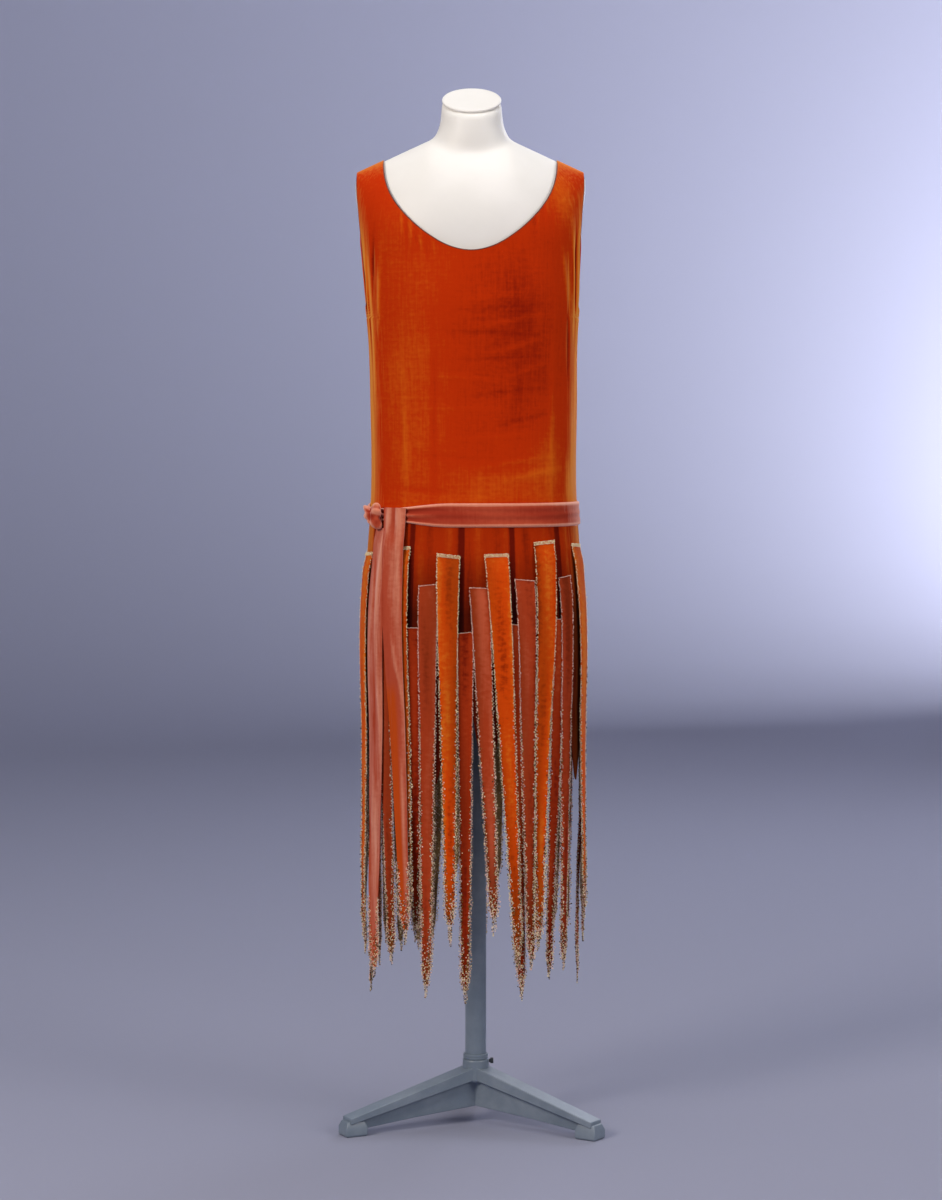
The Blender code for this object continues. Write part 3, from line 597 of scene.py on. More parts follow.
class BodyLine:
    """The line of the body that the cloth lies on, and of the form inside it."""

    COLUMNS = ("z", "half_width", "half_depth", "form_width", "form_depth", "lean")
    LEVELS = np.array([
        (0.150, 0.1575, 0.1120, 0.1400, 0.1000, 0.000),
        (0.600, 0.1605, 0.1150, 0.1400, 0.1000, 0.000),
        (0.700, 0.1625, 0.1180, 0.1510, 0.1060, 0.000),
        (0.770, 0.1610, 0.1185, 0.1570, 0.1110, 0.000),
        (0.850, 0.1555, 0.1150, 0.1520, 0.1080, 0.000),
        (0.940, 0.1500, 0.1085, 0.1380, 0.0970, 0.000),
        (1.060, 0.1500, 0.1080, 0.1290, 0.0910, 0.000),
        (1.150, 0.1510, 0.1120, 0.1400, 0.1030, -0.001),
        (1.220, 0.1550, 0.1150, 0.1520, 0.1120, -0.002),
        (1.300, 0.1605, 0.1120, 0.1585, 0.1120, -0.004),
        (1.380, 0.1670, 0.1120, 0.1655, 0.1120, -0.005),
        (1.457, 0.1725, 0.1120, 0.1710, 0.1120, -0.005),
    ])
    FORM_EASE = 0.0045
    FORM_EASE_HEIGHT = 0.008

    def __init__(self) -> None:
        """Work out the sections of the cloth's body and of the form."""
        self.cloth = SectionTable(lambda z: self.level(z, "half_width"),
                                  lambda z: self.depth(z, "half_depth"))
        self.form = SectionTable(lambda z: self.level(z, "form_width") - GAP, self.form_depth)
        self.hip_round = 4.0 * float(np.interp(HIP_Z, self.cloth.heights, self.cloth.length))

    def level(self, z: np.ndarray, column: str) -> np.ndarray:
        """Read a column of the level table at heights."""
        return hermite(z, self.LEVELS[:, 0], self.LEVELS[:, self.COLUMNS.index(column)])

    def depth(self, z: np.ndarray, column: str) -> np.ndarray:
        """Read a half depth, closing in a round shoulder at the top."""
        rise = np.clip((z - SHOULDER_ROUND_Z) / (SHOULDER_Z - SHOULDER_ROUND_Z), 0.0, 1.0)
        full = self.level(np.minimum(z, SHOULDER_ROUND_Z), column)
        return full * (1.0 - rise**2.0) ** (1.0 / SHOULDER_ROUNDNESS)

    def form_depth(self, z: np.ndarray) -> np.ndarray:
        """The form's half depth, kept inside the cloth."""
        ease = self.FORM_EASE * soft_step((SHOULDER_Z - z) / self.FORM_EASE_HEIGHT)
        return np.maximum(self.depth(z, "form_depth") - ease, GAP)

    def slope_down(self, x: np.ndarray, z: np.ndarray) -> np.ndarray:
        """How far the sloping shoulder lowers a point."""
        share = soft_step((z - SHEAR_FROM_Z) / (SHOULDER_Z - SHEAR_FROM_Z))
        return SHOULDER_SLOPE * np.maximum(0.0, np.abs(x) - NECK_SIDE) * share

    def point(self, turn: np.ndarray, z: np.ndarray, table: SectionTable | None = None) -> np.ndarray:
        """Points of the body line.

        Args:
            turn: Turns.
            z: Heights before the shoulder's slope.
            table: The sections to read, the cloth's if left out.

        Returns:
            An array of points.
        """
        turn, z = np.broadcast_arrays(np.asarray(turn, float), np.asarray(z, float))
        x, y = (table or self.cloth).read(turn, z)
        return np.stack([x + self.level(z, "lean"), y, z - self.slope_down(x, z)], axis=-1)

    def outward(self, turn: np.ndarray, z: np.ndarray) -> np.ndarray:
        """The outward direction at turns and heights."""
        dt, dz = 0.002, 0.001
        z = np.asarray(z, float)
        along = self.point(turn + dt, z) - self.point(turn - dt, z)
        up = self.point(turn, np.minimum(z + dz, SHOULDER_Z)) - self.point(turn, z - dz)
        normal = np.cross(along, up)
        return normal / np.maximum(np.linalg.norm(normal, axis=-1, keepdims=True), 1e-12)

    def turn_at_x(self, x: float, z: float) -> float:
        """The front turn whose point stands at x, at a height."""
        row = float(np.interp(z, self.cloth.heights, np.arange(len(self.cloth.heights))))
        i = min(int(row), len(self.cloth.heights) - 2)
        xs = self.cloth.x[i] * (1.0 - row + i) + self.cloth.x[i + 1] * (row - i)
        return math.copysign(0.5 * float(np.interp(abs(x), xs, np.linspace(0.0, 1.0, len(xs)))), x)

    def turn_of(self, distance: np.ndarray | float) -> np.ndarray | float:
        """The turn of a distance along the hip."""
        return 2.0 * distance / self.hip_round

    def distance_of(self, turn: np.ndarray) -> np.ndarray:
        """The distance along the hip of a turn."""
        return turn * self.hip_round / 2.0


@dataclass(frozen=True)
class Crease:
    """One soft ridge (rise above 0) or trough (below 0), upright unless it is tilted.

    The same form serves for how bright the cloth is painted, where the rise is pile tone or painted highlight
    and shade.
    """

    across: float
    z: float
    width: float
    length: float
    rise: float
    tilt: float = 0.0

    def height(self, distance: np.ndarray, z: np.ndarray) -> np.ndarray:
        """How far the crease lifts the cloth at distances from the panel's middle and heights."""
        angle = math.radians(self.tilt)
        ds, dz = distance - self.across, z - self.z
        side = ds * math.cos(angle) - dz * math.sin(angle)
        along = dz * math.cos(angle) + ds * math.sin(angle)
        return self.rise * np.exp(-(side / self.width) ** 2 - (along / self.length) ** 2)


class MeshMaker:
    """Meshes in the part's frame from arrays of points."""

    SHELL_SHARP = 50.0
    TUBE_SHARP = 60.0
    TUBE_END = 0.25
    TUBE_END_STEPS = 8.0
    TUBE_CENTRE_DROP = 0.3

    @staticmethod
    def place(name: str, points: np.ndarray, faces: list, materials: list, looks: np.ndarray | None = None,
              shift: np.ndarray = AXIS_PLACE, smooth: bool = True) -> bpy.types.Object:
        """Make an object.

        Args:
            name: The piece's name.
            points: Its points about the dress's axis.
            faces: Its faces.
            materials: Its materials.
            looks: The number of each face's material.
            shift: What is added to the points.
            smooth: Whether it is shaded smooth.

        Returns:
            The object, riding on the body.
        """
        mesh = bpy.data.meshes.new(name)
        mesh.from_pydata((points.reshape(-1, 3) + shift).tolist(), [], faces)
        for material in materials:
            mesh.materials.append(material)
        if looks is not None:
            mesh.polygons.foreach_set("material_index", looks.astype(np.int32))
        mesh.update()
        if smooth:
            mesh.shade_smooth()
        obj = bpy.data.objects.new(name, mesh)
        bpy.context.scene.collection.objects.link(obj)
        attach(obj, BODY)
        LOG.info("%s: %d faces", name, len(mesh.polygons))
        return obj

    @staticmethod
    def grid_faces(rows: int, columns: int, start: int = 0, flip: bool = False) -> list:
        """Faces of a grid of points, its normals outward where rows rise and columns run with the turn."""
        i, j = np.meshgrid(np.arange(rows - 1), np.arange(columns - 1), indexing="ij")
        first = (start + i * columns + j).ravel()
        quads = np.stack([first, first + 1, first + 1 + columns, first + columns], axis=1)
        return (quads[:, ::-1] if flip else quads).tolist()

    @staticmethod
    def ring_faces(total: int, count: int, joined: bool = False) -> list:
        """Faces between rings of equal count, the last ring joined to the first if asked."""
        i, j = np.meshgrid(np.arange(total if joined else total - 1), np.arange(count), indexing="ij")
        k, upper = (j + 1) % count, (i + 1) % total
        quads = np.stack([i * count + j, i * count + k, upper * count + k, upper * count + j], axis=-1)
        return quads.reshape(-1, 4).tolist()

    @classmethod
    def shell(cls, name: str, inner: np.ndarray, outer: np.ndarray, face: bpy.types.Material,
              lining: bpy.types.Material) -> bpy.types.Object:
        """Make a closed cloth wall between two grids of points.

        Args:
            name: The piece's name.
            inner: Rows by columns of points of the inner face.
            outer: The same for the outer face.
            face: The outer face's and the edges' material.
            lining: The inner face's material.

        Returns:
            The object.
        """
        rows, columns = inner.shape[:2]
        count = rows * columns
        faces = cls.grid_faces(rows, columns) + cls.grid_faces(rows, columns, count, flip=True)
        index = np.arange(count).reshape(rows, columns)
        rim = np.concatenate([index[0, :-1], index[:-1, -1], index[-1, :0:-1], index[:0:-1, 0]])
        following = np.roll(rim, -1)
        faces += np.stack([rim, rim + count, following + count, following], axis=1).tolist()
        looks = np.zeros(len(faces), int)
        cells = (rows - 1) * (columns - 1)
        looks[cells:2 * cells] = 1
        points = np.concatenate([outer.reshape(-1, 3), inner.reshape(-1, 3)])
        obj = cls.place(name, points, faces, [face, lining], looks)
        obj.data.set_sharp_from_angle(angle=math.radians(cls.SHELL_SHARP))
        return obj

    @classmethod
    def loft(cls, name: str, rings: np.ndarray, material: bpy.types.Material, joined: bool = False,
             sharp: float = 40.0, shift: np.ndarray = AXIS_PLACE) -> bpy.types.Object:
        """Make a closed skin through rings of equal count.

        Args:
            name: The piece's name.
            rings: Rings by points, each ring running anticlockwise seen from the last ring's side.
            material: Its material.
            joined: Whether the last ring joins the first, or both ends are closed flat.
            sharp: Edges with a greater angle than this, in degrees, stay sharp.
            shift: What is added to the points.

        Returns:
            The object.
        """
        total, count = rings.shape[:2]
        faces = cls.ring_faces(total, count, joined)
        if not joined:
            faces.append(tuple(range(count - 1, -1, -1)))
            faces.append(tuple(range((total - 1) * count, total * count)))
        obj = cls.place(name, rings, faces, [material], shift=shift)
        obj.data.set_sharp_from_angle(angle=math.radians(sharp))
        return obj

    @staticmethod
    def paint(obj: bpy.types.Object, name: str, values: np.ndarray) -> None:
        """Keep a value at each point of a mesh, for its material."""
        layer = obj.data.attributes.new(name, "FLOAT", "POINT")
        layer.data.foreach_set("value", values.ravel().astype(np.float32))

    @classmethod
    def tube(cls, name: str, path: np.ndarray, radius: float, material: bpy.types.Material,
             sides: int = 8) -> bpy.types.Object:
        """Make a thin round edge along a path.

        Args:
            name: The piece's name.
            path: Points about the dress's axis.
            radius: The tube's radius.
            material: Its material.
            sides: Its number of sides.

        Returns:
            The object.
        """
        ahead = np.gradient(path, axis=0)
        ahead /= np.linalg.norm(ahead, axis=1, keepdims=True)
        middle = path.mean(axis=0) - np.array((0.0, 0.0, cls.TUBE_CENTRE_DROP))
        aside = np.cross(ahead, path - middle)
        aside /= np.linalg.norm(aside, axis=1, keepdims=True)
        out = np.cross(aside, ahead)
        angles = np.linspace(0.0, 2.0 * math.pi, sides, endpoint=False)
        ring = aside[:, None] * np.cos(angles)[None, :, None] + out[:, None] * np.sin(angles)[None, :, None]
        from_end = np.minimum(np.arange(len(path)), np.arange(len(path))[::-1])
        swell = soft_step(from_end / cls.TUBE_END_STEPS)
        drawn_in = radius * (cls.TUBE_END + (1.0 - cls.TUBE_END) * swell)
        return cls.loft(name, path[:, None] + ring * drawn_in[:, None, None], material, sharp=cls.TUBE_SHARP)

    @staticmethod
    def lathe(profile: list[tuple[float, float]], sides: int = 48) -> np.ndarray:
        """Rings of a turned shape from radii and heights, from the foot up."""
        angles = np.linspace(0.0, 2.0 * math.pi, sides, endpoint=False)
        circle = np.stack([np.cos(angles), np.sin(angles)], axis=-1)
        return np.array([[(*(c * r), z) for c in circle] for r, z in profile])


def stand_in(obj: bpy.types.Object, node: str) -> None:
    """Let a piece take the place of a CAD node, which is hidden."""
    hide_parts(node)


@dataclass
class DressForm:
    """The limbless form: a torso with its neck faired into the shoulders, and a thin sloping cap."""

    body: BodyLine
    wardrobe: Wardrobe
    bottom_z: float = 0.690
    cap_radius: float = 0.0436
    cap_thickness: float = 0.004
    cap_centre: tuple[float, float, float] = (-0.003, 0.0, 1.514)
    cap_tilt: float = math.radians(27.0)
    voxel: float = 0.0054
    fairing_turns: int = 8
    torso_columns: int = 96
    torso_rows: int = 60
    shoulder_rows: int = 36
    neck_columns: int = 64
    neck_rows: int = 34

    # The neck's height, half width and half depth
    NECK = np.array([
        (1.380, 0.0900, 0.0400),
        (1.430, 0.0700, 0.0470),
        (1.456, 0.0565, 0.0490),
        (1.474, 0.0482, 0.0470),
        (1.490, 0.0456, 0.0450),
        (1.516, 0.0440, 0.0438),
    ])

    def build(self) -> None:
        """Build the torso with its neck, and the cap."""
        stand_in(self.torso(), "form_torso")
        stand_in(self.cap(), "form_neck_cap")

    def torso(self) -> bpy.types.Object:
        """Join torso and neck to one smooth skin.

        Returns:
            The torso.
        """
        turns = np.linspace(0.0, 2.0, self.torso_columns, endpoint=False)
        low = np.linspace(self.bottom_z, SHOULDER_ROUND_Z, self.torso_rows)[:-1]
        quarter = np.linspace(0.0, math.pi / 2.0, self.shoulder_rows)
        top = (SHOULDER_Z - SHOULDER_ROUND_Z) * np.sin(quarter)
        heights = np.concatenate([low, SHOULDER_ROUND_Z + top])
        rings = self.body.point(turns[None, :], heights[:, None], self.body.form)
        rings[..., 2] -= GAP
        torso = MeshMaker.loft("dress_form", rings, self.wardrobe.form, sharp=180.0)
        neck = MeshMaker.loft("neck", self.neck_rings(), self.wardrobe.form, sharp=180.0)
        self.join(torso, neck)
        fair = torso.modifiers.new("one_skin", "REMESH")
        fair.mode = "VOXEL"
        fair.voxel_size = self.voxel
        fair.use_smooth_shade = True
        smooth = torso.modifiers.new("fairing", "SMOOTH")
        smooth.factor = 0.5
        smooth.iterations = self.fairing_turns
        return torso

    def neck_rings(self) -> np.ndarray:
        """Rings of the neck, the last one sloping under the cap."""
        angles = np.linspace(0.0, 2.0 * math.pi, self.neck_columns, endpoint=False)
        centre = np.array(self.cap_centre)
        heights = np.linspace(self.NECK[0, 0], self.NECK[-1, 0], self.neck_rows)
        wide = hermite(heights, self.NECK[:, 0], self.NECK[:, 1])
        deep = hermite(heights, self.NECK[:, 0], self.NECK[:, 2])
        under = centre[2] - (self.cap_thickness / 2.0 + GAP) / math.cos(self.cap_tilt)
        rings = []
        for z, a, b in zip(heights, wide, deep):
            x = centre[0] + a * np.sin(angles)
            y = centre[1] - b * np.cos(angles)
            ceiling = under + (y - centre[1]) * math.tan(self.cap_tilt)
            rings.append(np.stack([x, y, np.minimum(z, ceiling)], axis=-1))
        last = rings[-1].copy()
        last[:, 2] = under + (last[:, 1] - centre[1]) * math.tan(self.cap_tilt)
        return np.array(rings[:-1] + [last])

    @staticmethod
    def join(kept: bpy.types.Object, added: bpy.types.Object) -> None:
        """Join one object's mesh into another's."""
        with bpy.context.temp_override(active_object=kept, object=kept, selected_objects=[kept, added],
                                       selected_editable_objects=[kept, added]):
            bpy.ops.object.join()

    def cap(self) -> bpy.types.Object:
        """The neck's cap: a thin disc with a rounded rim.

        Returns:
            The cap.
        """
        r, h = self.cap_radius, self.cap_thickness / 2.0
        middle, flat, edge, fine, dip = 0.0005, 0.004, 0.0011, 0.0002, 0.0001
        profile = [(middle, -h), (r - flat, -h), (r - edge, -h + dip), (r - fine, -h + edge),
                   (r, 0.0), (r - fine, h - edge), (r - edge, h - dip), (r - flat, h), (middle, h)]
        rings = MeshMaker.lathe(profile, 96)
        tilt = np.array(Matrix.Rotation(self.cap_tilt, 3, "X"))
        rings = rings @ tilt.T + np.array(self.cap_centre)
        return MeshMaker.loft("form_cap", rings, self.wardrobe.form, sharp=60.0)


@dataclass
class Stand:
    """The stand: a steel pole in a cast hub with three legs, a clamp collar and its screw."""

    wardrobe: Wardrobe
    pole_radius: float = 0.0155
    hub_radius: float = 0.0195
    hub_top: float = 0.0960
    hub_foot: float = 0.0620
    collar_radius: float = 0.0185
    collar_height: float = 0.0075
    screw_radius: float = 0.0042
    screw_length: float = 0.0065
    screw_z: float = 0.0925
    leg_reach: float = 0.217
    leg_turn: float = math.radians(3.8)
    foot_size: tuple[float, float, float] = (0.034, 0.030, 0.022)
    pole_top: float = 0.6894
    legs_apart: float = math.radians(120.0)
    bevel_width: float = 0.0013
    bevel_from: float = math.radians(32.0)
    sharp: float = 35.0

    # Along the leg: its top, its flange's depth and width, its web's width, and its web's lower edge
    LEG = np.array([
        (0.000, 0.0880, 0.0200, 0.0310, 0.0120, 0.0260),
        (0.110, 0.0560, 0.0140, 0.0305, 0.0110, 0.0170),
        (0.210, 0.0270, 0.0090, 0.0290, 0.0100, 0.0060),
    ])

    def build(self) -> None:
        """Build the base, the pole, the collar and the clamp screw."""
        for piece, node in ((self.base(), "stand_base"), (self.pole(), "stand_pole"),
                            (self.collar(), "stand_collar"), (self.screw(), "stand_clamp_screw")):
            stand_in(piece, node)

    def turned(self, name: str, profile: list[tuple[float, float]], joined: bool = False) -> bpy.types.Object:
        """Make a turned piece on the stand's axis."""
        return MeshMaker.loft(name, MeshMaker.lathe(profile, 64), self.wardrobe.stand, joined=joined,
                              sharp=self.sharp, shift=STAND_MIDDLE)

    def pole(self) -> bpy.types.Object:
        """The pole: a steel tube with turned-in ends."""
        r, low, high = self.pole_radius, self.hub_top + GAP, self.pole_top
        foot, lip = 0.0006, 0.0008
        return self.turned("pole", [(r - foot, low), (r, low + foot), (r, high - lip), (r - lip, high)])

    def collar(self) -> bpy.types.Object:
        """The clamp collar: a split ring with chamfered edges and a groove round its middle."""
        r, inner = self.collar_radius, self.pole_radius + GAP
        low, high = self.hub_top + GAP, self.hub_top + GAP + self.collar_height
        middle, chamfer, groove = (low + high) / 2.0, 0.0007, 0.0005
        profile = [(inner, low), (r - chamfer, low), (r, low + chamfer), (r, middle - groove),
                   (r - groove, middle), (r, middle + groove), (r, high - chamfer), (r - chamfer, high),
                   (inner, high)]
        return self.turned("clamp_collar", profile, joined=True)

    def screw(self) -> bpy.types.Object:
        """The clamp screw: a knurled head on a short shank, standing out of the hub's side."""
        r, ridges, knurl_depth = self.screw_radius, 18, 0.06
        angles = np.linspace(0.0, 2.0 * math.pi, ridges * 4, endpoint=False)
        knurl = 1.0 - knurl_depth * (0.5 - 0.5 * np.cos(ridges * angles))
        start = self.hub_radius + GAP
        # Shares of the length and of the radius, and whether the ring is knurled
        shares = [(0.0, 0.62, 0), (0.28, 0.62, 0), (0.30, 0.92, 1), (0.36, 1.0, 1), (0.94, 1.0, 1),
                  (1.0, 0.90, 1)]
        rings = []
        for share, radius, knurled in shares:
            round_ = r * radius * (knurl if knurled else np.ones_like(knurl))
            x = np.full_like(angles, start + self.screw_length * share)
            z = round_ * np.sin(angles) + self.screw_z
            rings.append(np.stack([x, round_ * np.cos(angles), z], axis=-1))
        return MeshMaker.loft("clamp_screw", np.array(rings), self.wardrobe.steel, sharp=30.0,
                              shift=STAND_MIDDLE)

    def base(self) -> bpy.types.Object:
        """The cast base: the hub and three ribbed legs ending in foot blocks.

        Returns:
            The base.
        """
        r, low, high = self.hub_radius, self.hub_foot, self.hub_top
        middle, foot, lip = 0.0005, 0.003, 0.0016
        profile = [(middle, low), (r - foot, low), (r, low + foot), (r, high - lip), (r - lip, high),
                   (middle, high)]
        hub = self.turned("cast_base", profile)
        for direction in (-self.legs_apart / 2.0, self.legs_apart / 2.0, math.pi):
            for piece in self.leg(direction - self.leg_turn):
                DressForm.join(hub, piece)
        bevel = hub.modifiers.new("cast_edges", "BEVEL")
        bevel.width = self.bevel_width
        bevel.segments = 2
        bevel.limit_method = "ANGLE"
        bevel.angle_limit = self.bevel_from
        return hub

    def leg(self, direction: float) -> list[bpy.types.Object]:
        """One leg and its foot block.

        Args:
            direction: Its direction from the front, in radians.

        Returns:
            The leg and the foot.
        """
        along = np.array((math.sin(direction), -math.cos(direction), 0.0))
        across = np.array((along[1], -along[0], 0.0))
        up = np.array((0.0, 0.0, 1.0))
        rings = []
        for reach in np.linspace(self.LEG[0, 0], self.LEG[-1, 0], 5):
            top, flange_depth, flange_width, web_width, bottom = [
                np.interp(reach, self.LEG[:, 0], self.LEG[:, k]) for k in range(1, 6)]
            a, b, low = flange_width / 2.0, web_width / 2.0, top - flange_depth
            outline = ((-a, top), (a, top), (a, low), (b, low), (b, bottom), (-b, bottom), (-b, low),
                       (-a, low))
            rings.append([along * reach + across * side + up * height for side, height in outline])
        leg = MeshMaker.loft("leg", np.array(rings), self.wardrobe.stand, sharp=self.sharp,
                             shift=STAND_MIDDLE)
        length, width, height = self.foot_size
        middle = self.leg_reach - length / 2.0
        slab = []
        # Heights of the foot block's rings, and how far each is drawn in
        for level, inset in ((0.0, 0.0015), (0.002, 0.0), (height * 0.6, 0.0), (height, 0.0035)):
            a, b = length / 2.0 - inset, width / 2.0 - inset
            corners = ((-a, -b), (a, -b), (a, b), (-a, b))
            slab.append([along * (middle + p) - across * q + up * level for p, q in corners])
        foot = MeshMaker.loft("foot", np.array(slab), self.wardrobe.stand, sharp=self.sharp,
                              shift=STAND_MIDDLE)
        return [leg, foot]


@dataclass
class Bodice:
    """One half of the bodice: a straight panel with a round neck, wide straps and long armholes."""

    body: BodyLine
    wardrobe: Wardrobe
    side: Side
    neck_half_width: float = 0.127
    strap_outer: float = 0.166
    neck_drop: float = 0.1665
    neck_roundness: float = 1.9
    strap_share: float = 0.2
    corner_crowding: float = 1.6
    columns: int = 180
    rows: int = 100
    shoulder_rows: int = 30
    edge_radius: float = 0.0009
    low_crowding: float = 0.04
    deepest_trough: float = 0.0022
    creases: list[Crease] = field(default_factory=list)
    nap_and_light: list[Crease] = field(default_factory=list)

    ARM_EDGE_Z = (UNDERARM_Z, 1.225, 1.300, 1.345, 1.400)
    ARM_EDGE = {Side.FRONT: (1.0, 0.982, 0.980, 0.978, 0.970), Side.BACK: (1.0, 0.998, 0.996, 0.985, 0.970)}
    # Each soft fold at the armhole: its turn, its width as a turn, and its height
    ARM_FOLDS = ((0.455, 0.022, 0.0014), (0.412, 0.018, 0.0009), (0.368, 0.020, 0.0006))
    FOLDS_FROM_Z, FOLDS_GROW = 0.96, 0.14
    FOLDS_TO_Z, FOLDS_FADE = 1.39, 0.12

    def strap_turn(self, x: float) -> float:
        """The turn at which the level shoulder line stands at x."""
        return 0.5 * x / float(self.body.level(SHOULDER_Z, "half_width"))

    def side_edge(self, z: float) -> float:
        """The turn of the right edge: the side seam, then the armhole up to the strap."""
        if z <= UNDERARM_Z:
            return 0.5
        if z >= SHOULDER_Z:
            return self.strap_turn(self.strap_outer)
        last = self.strap_outer / float(self.body.level(SHOULDER_Z, "half_width"))
        share = np.interp(z, (*self.ARM_EDGE_Z, SHOULDER_Z), (*self.ARM_EDGE[self.side], last))
        return self.body.turn_at_x(float(share * self.body.level(z, "half_width")), z)

    def top_edge(self, share: float) -> tuple[float, float]:
        """Turn and height along the top edge, from one outer strap corner to the other."""
        inset = min(share, 1.0 - share)
        side = -1.0 if share < 0.5 else 1.0
        if inset <= self.strap_share:
            x = self.strap_outer + (self.neck_half_width - self.strap_outer) * inset / self.strap_share
            return self.strap_turn(side * x), SHOULDER_Z
        from_corner = (inset - self.strap_share) / (0.5 - self.strap_share)
        angle = math.pi / 2.0 * from_corner**self.corner_crowding
        power = 2.0 / self.neck_roundness
        x = side * self.neck_half_width * math.cos(angle) ** power
        z = SHOULDER_Z - self.neck_drop * math.sin(angle) ** power
        return self.body.turn_at_x(x, z), z

    def places(self) -> tuple[np.ndarray, np.ndarray]:
        """Turns and heights of the panel's grid, from the hip seam up.

        Returns:
            Two arrays of rows by columns.
        """
        even = np.linspace(HIP_SEAM_Z, SHOULDER_ROUND_Z, self.rows, endpoint=False)
        steps = np.sin(np.linspace(0.0, math.pi / 2.0, self.shoulder_rows + 1))
        heights = np.concatenate([even, SHOULDER_ROUND_Z + (SHOULDER_Z - SHOULDER_ROUND_Z) * steps])
        shares = np.linspace(0.0, 1.0, self.columns + 1)
        top = np.array([self.top_edge(float(u)) for u in shares])
        edges = np.array([self.side_edge(float(z)) for z in heights])
        rise = ((heights - HIP_SEAM_Z) / (SHOULDER_Z - HIP_SEAM_Z))[:, None]
        straight = (1.0 - rise) * 0.5 + rise * self.strap_turn(self.strap_outer)
        low = shares - 0.5 + self.low_crowding * np.sin(2.0 * math.pi * (shares + 0.5))
        half_seam = GAP / self.body.hip_round
        spread = edges[:, None] - straight - half_seam
        turn = (1.0 - rise) * low + rise * top[:, 0] + (2.0 * shares - 1.0) * spread
        seat = HIP_SEAM_Z + GAP * 0.5
        return turn, seat + (top[:, 1] - seat) * rise

    def relief(self, turn: np.ndarray, z: np.ndarray) -> np.ndarray:
        """How far the cloth stands off the body line: the arm folds, then the listed creases."""
        fade = soft_step((z - self.FOLDS_FROM_Z) / self.FOLDS_GROW)
        fade = fade * soft_step((self.FOLDS_TO_Z - z) / self.FOLDS_FADE)
        out = np.zeros_like(turn)
        for centre, width, depth in self.ARM_FOLDS:
            out += depth * np.exp(-(((np.abs(turn) - centre) / width) ** 2)) * fade
        distance = self.body.distance_of(turn)
        for crease in self.creases:
            out += crease.height(distance, z)
        return out

    def build(self) -> bpy.types.Object:
        """Build the panel and its bound edges.

        Returns:
            The panel.
        """
        turn, z = self.places()
        normal = self.body.outward(turn, z)
        ground = self.body.point(turn, z)
        relief = np.maximum(self.relief(turn, z), -self.deepest_trough)
        inner = ground + normal * (GAP + relief)[..., None]
        outer = inner + normal * CLOTH
        for skin in (inner, outer):
            skin[-1, z[-1] >= SHOULDER_Z - 1e-9, 1] = -GAP * 0.5
        if self.side is Side.BACK:
            for skin in (inner, outer):
                skin[..., 1] *= -1.0
            inner, outer = inner[:, ::-1], outer[:, ::-1]
        name = "bodice_" + self.side.value
        panel = MeshMaker.shell("velvet_" + name, inner, outer, self.wardrobe.bodice, self.wardrobe.lining)
        self.paint_nap_and_light(panel, turn, z)
        edges = self.bound_edges((inner + outer) / 2.0)
        stand_in(panel, name)
        return panel

    def paint_nap_and_light(self, panel: bpy.types.Object, turn: np.ndarray, z: np.ndarray) -> None:
        """Keep how bright the cloth is painted at each point: broad lighter and darker patches, and painted
        highlights and shade along the sides and on the creases; darker below 0 and brighter above it.

        Args:
            panel: The panel.
            turn: The turns of its grid.
            z: The heights of its grid.
        """
        distance = self.body.distance_of(turn)
        nap_and_light = sum(patch.height(distance, z) for patch in self.nap_and_light)
        nap_and_light = nap_and_light + CREASE_LIGHT_AND_SHADE * sum(crease.height(distance, z) for crease in self.creases)
        if self.side is Side.BACK:
            nap_and_light = nap_and_light[:, ::-1]
        MeshMaker.paint(panel, "nap_and_light", np.tile(nap_and_light.ravel(), 2))

    def bound_edges(self, middle: np.ndarray) -> list[bpy.types.Object]:
        """Narrow turned edges round the neck and the armholes.

        Args:
            middle: Rows by columns of points in the middle of the wall.

        Returns:
            The edges.
        """
        first = int(round(self.strap_share * self.columns))
        heights = np.linspace(HIP_SEAM_Z, SHOULDER_ROUND_Z, self.rows, endpoint=False)
        arm_row = int(np.argmax(heights > UNDERARM_Z))
        runs = {"neck": middle[-1, first:self.columns - first + 1], "armhole_right": middle[arm_row:, 0],
                "armhole_left": middle[arm_row:, -1]}
        made = []
        for place, path in runs.items():
            name = "turned_edge_%s_%s" % (self.side.value, place)
            shown_inside = place == "neck" or self.side is Side.FRONT
            cloth = self.wardrobe.lining if shown_inside else self.wardrobe.bodice
            edge = MeshMaker.tube(name, path, self.edge_radius, cloth)
            made.append(edge)
        return made


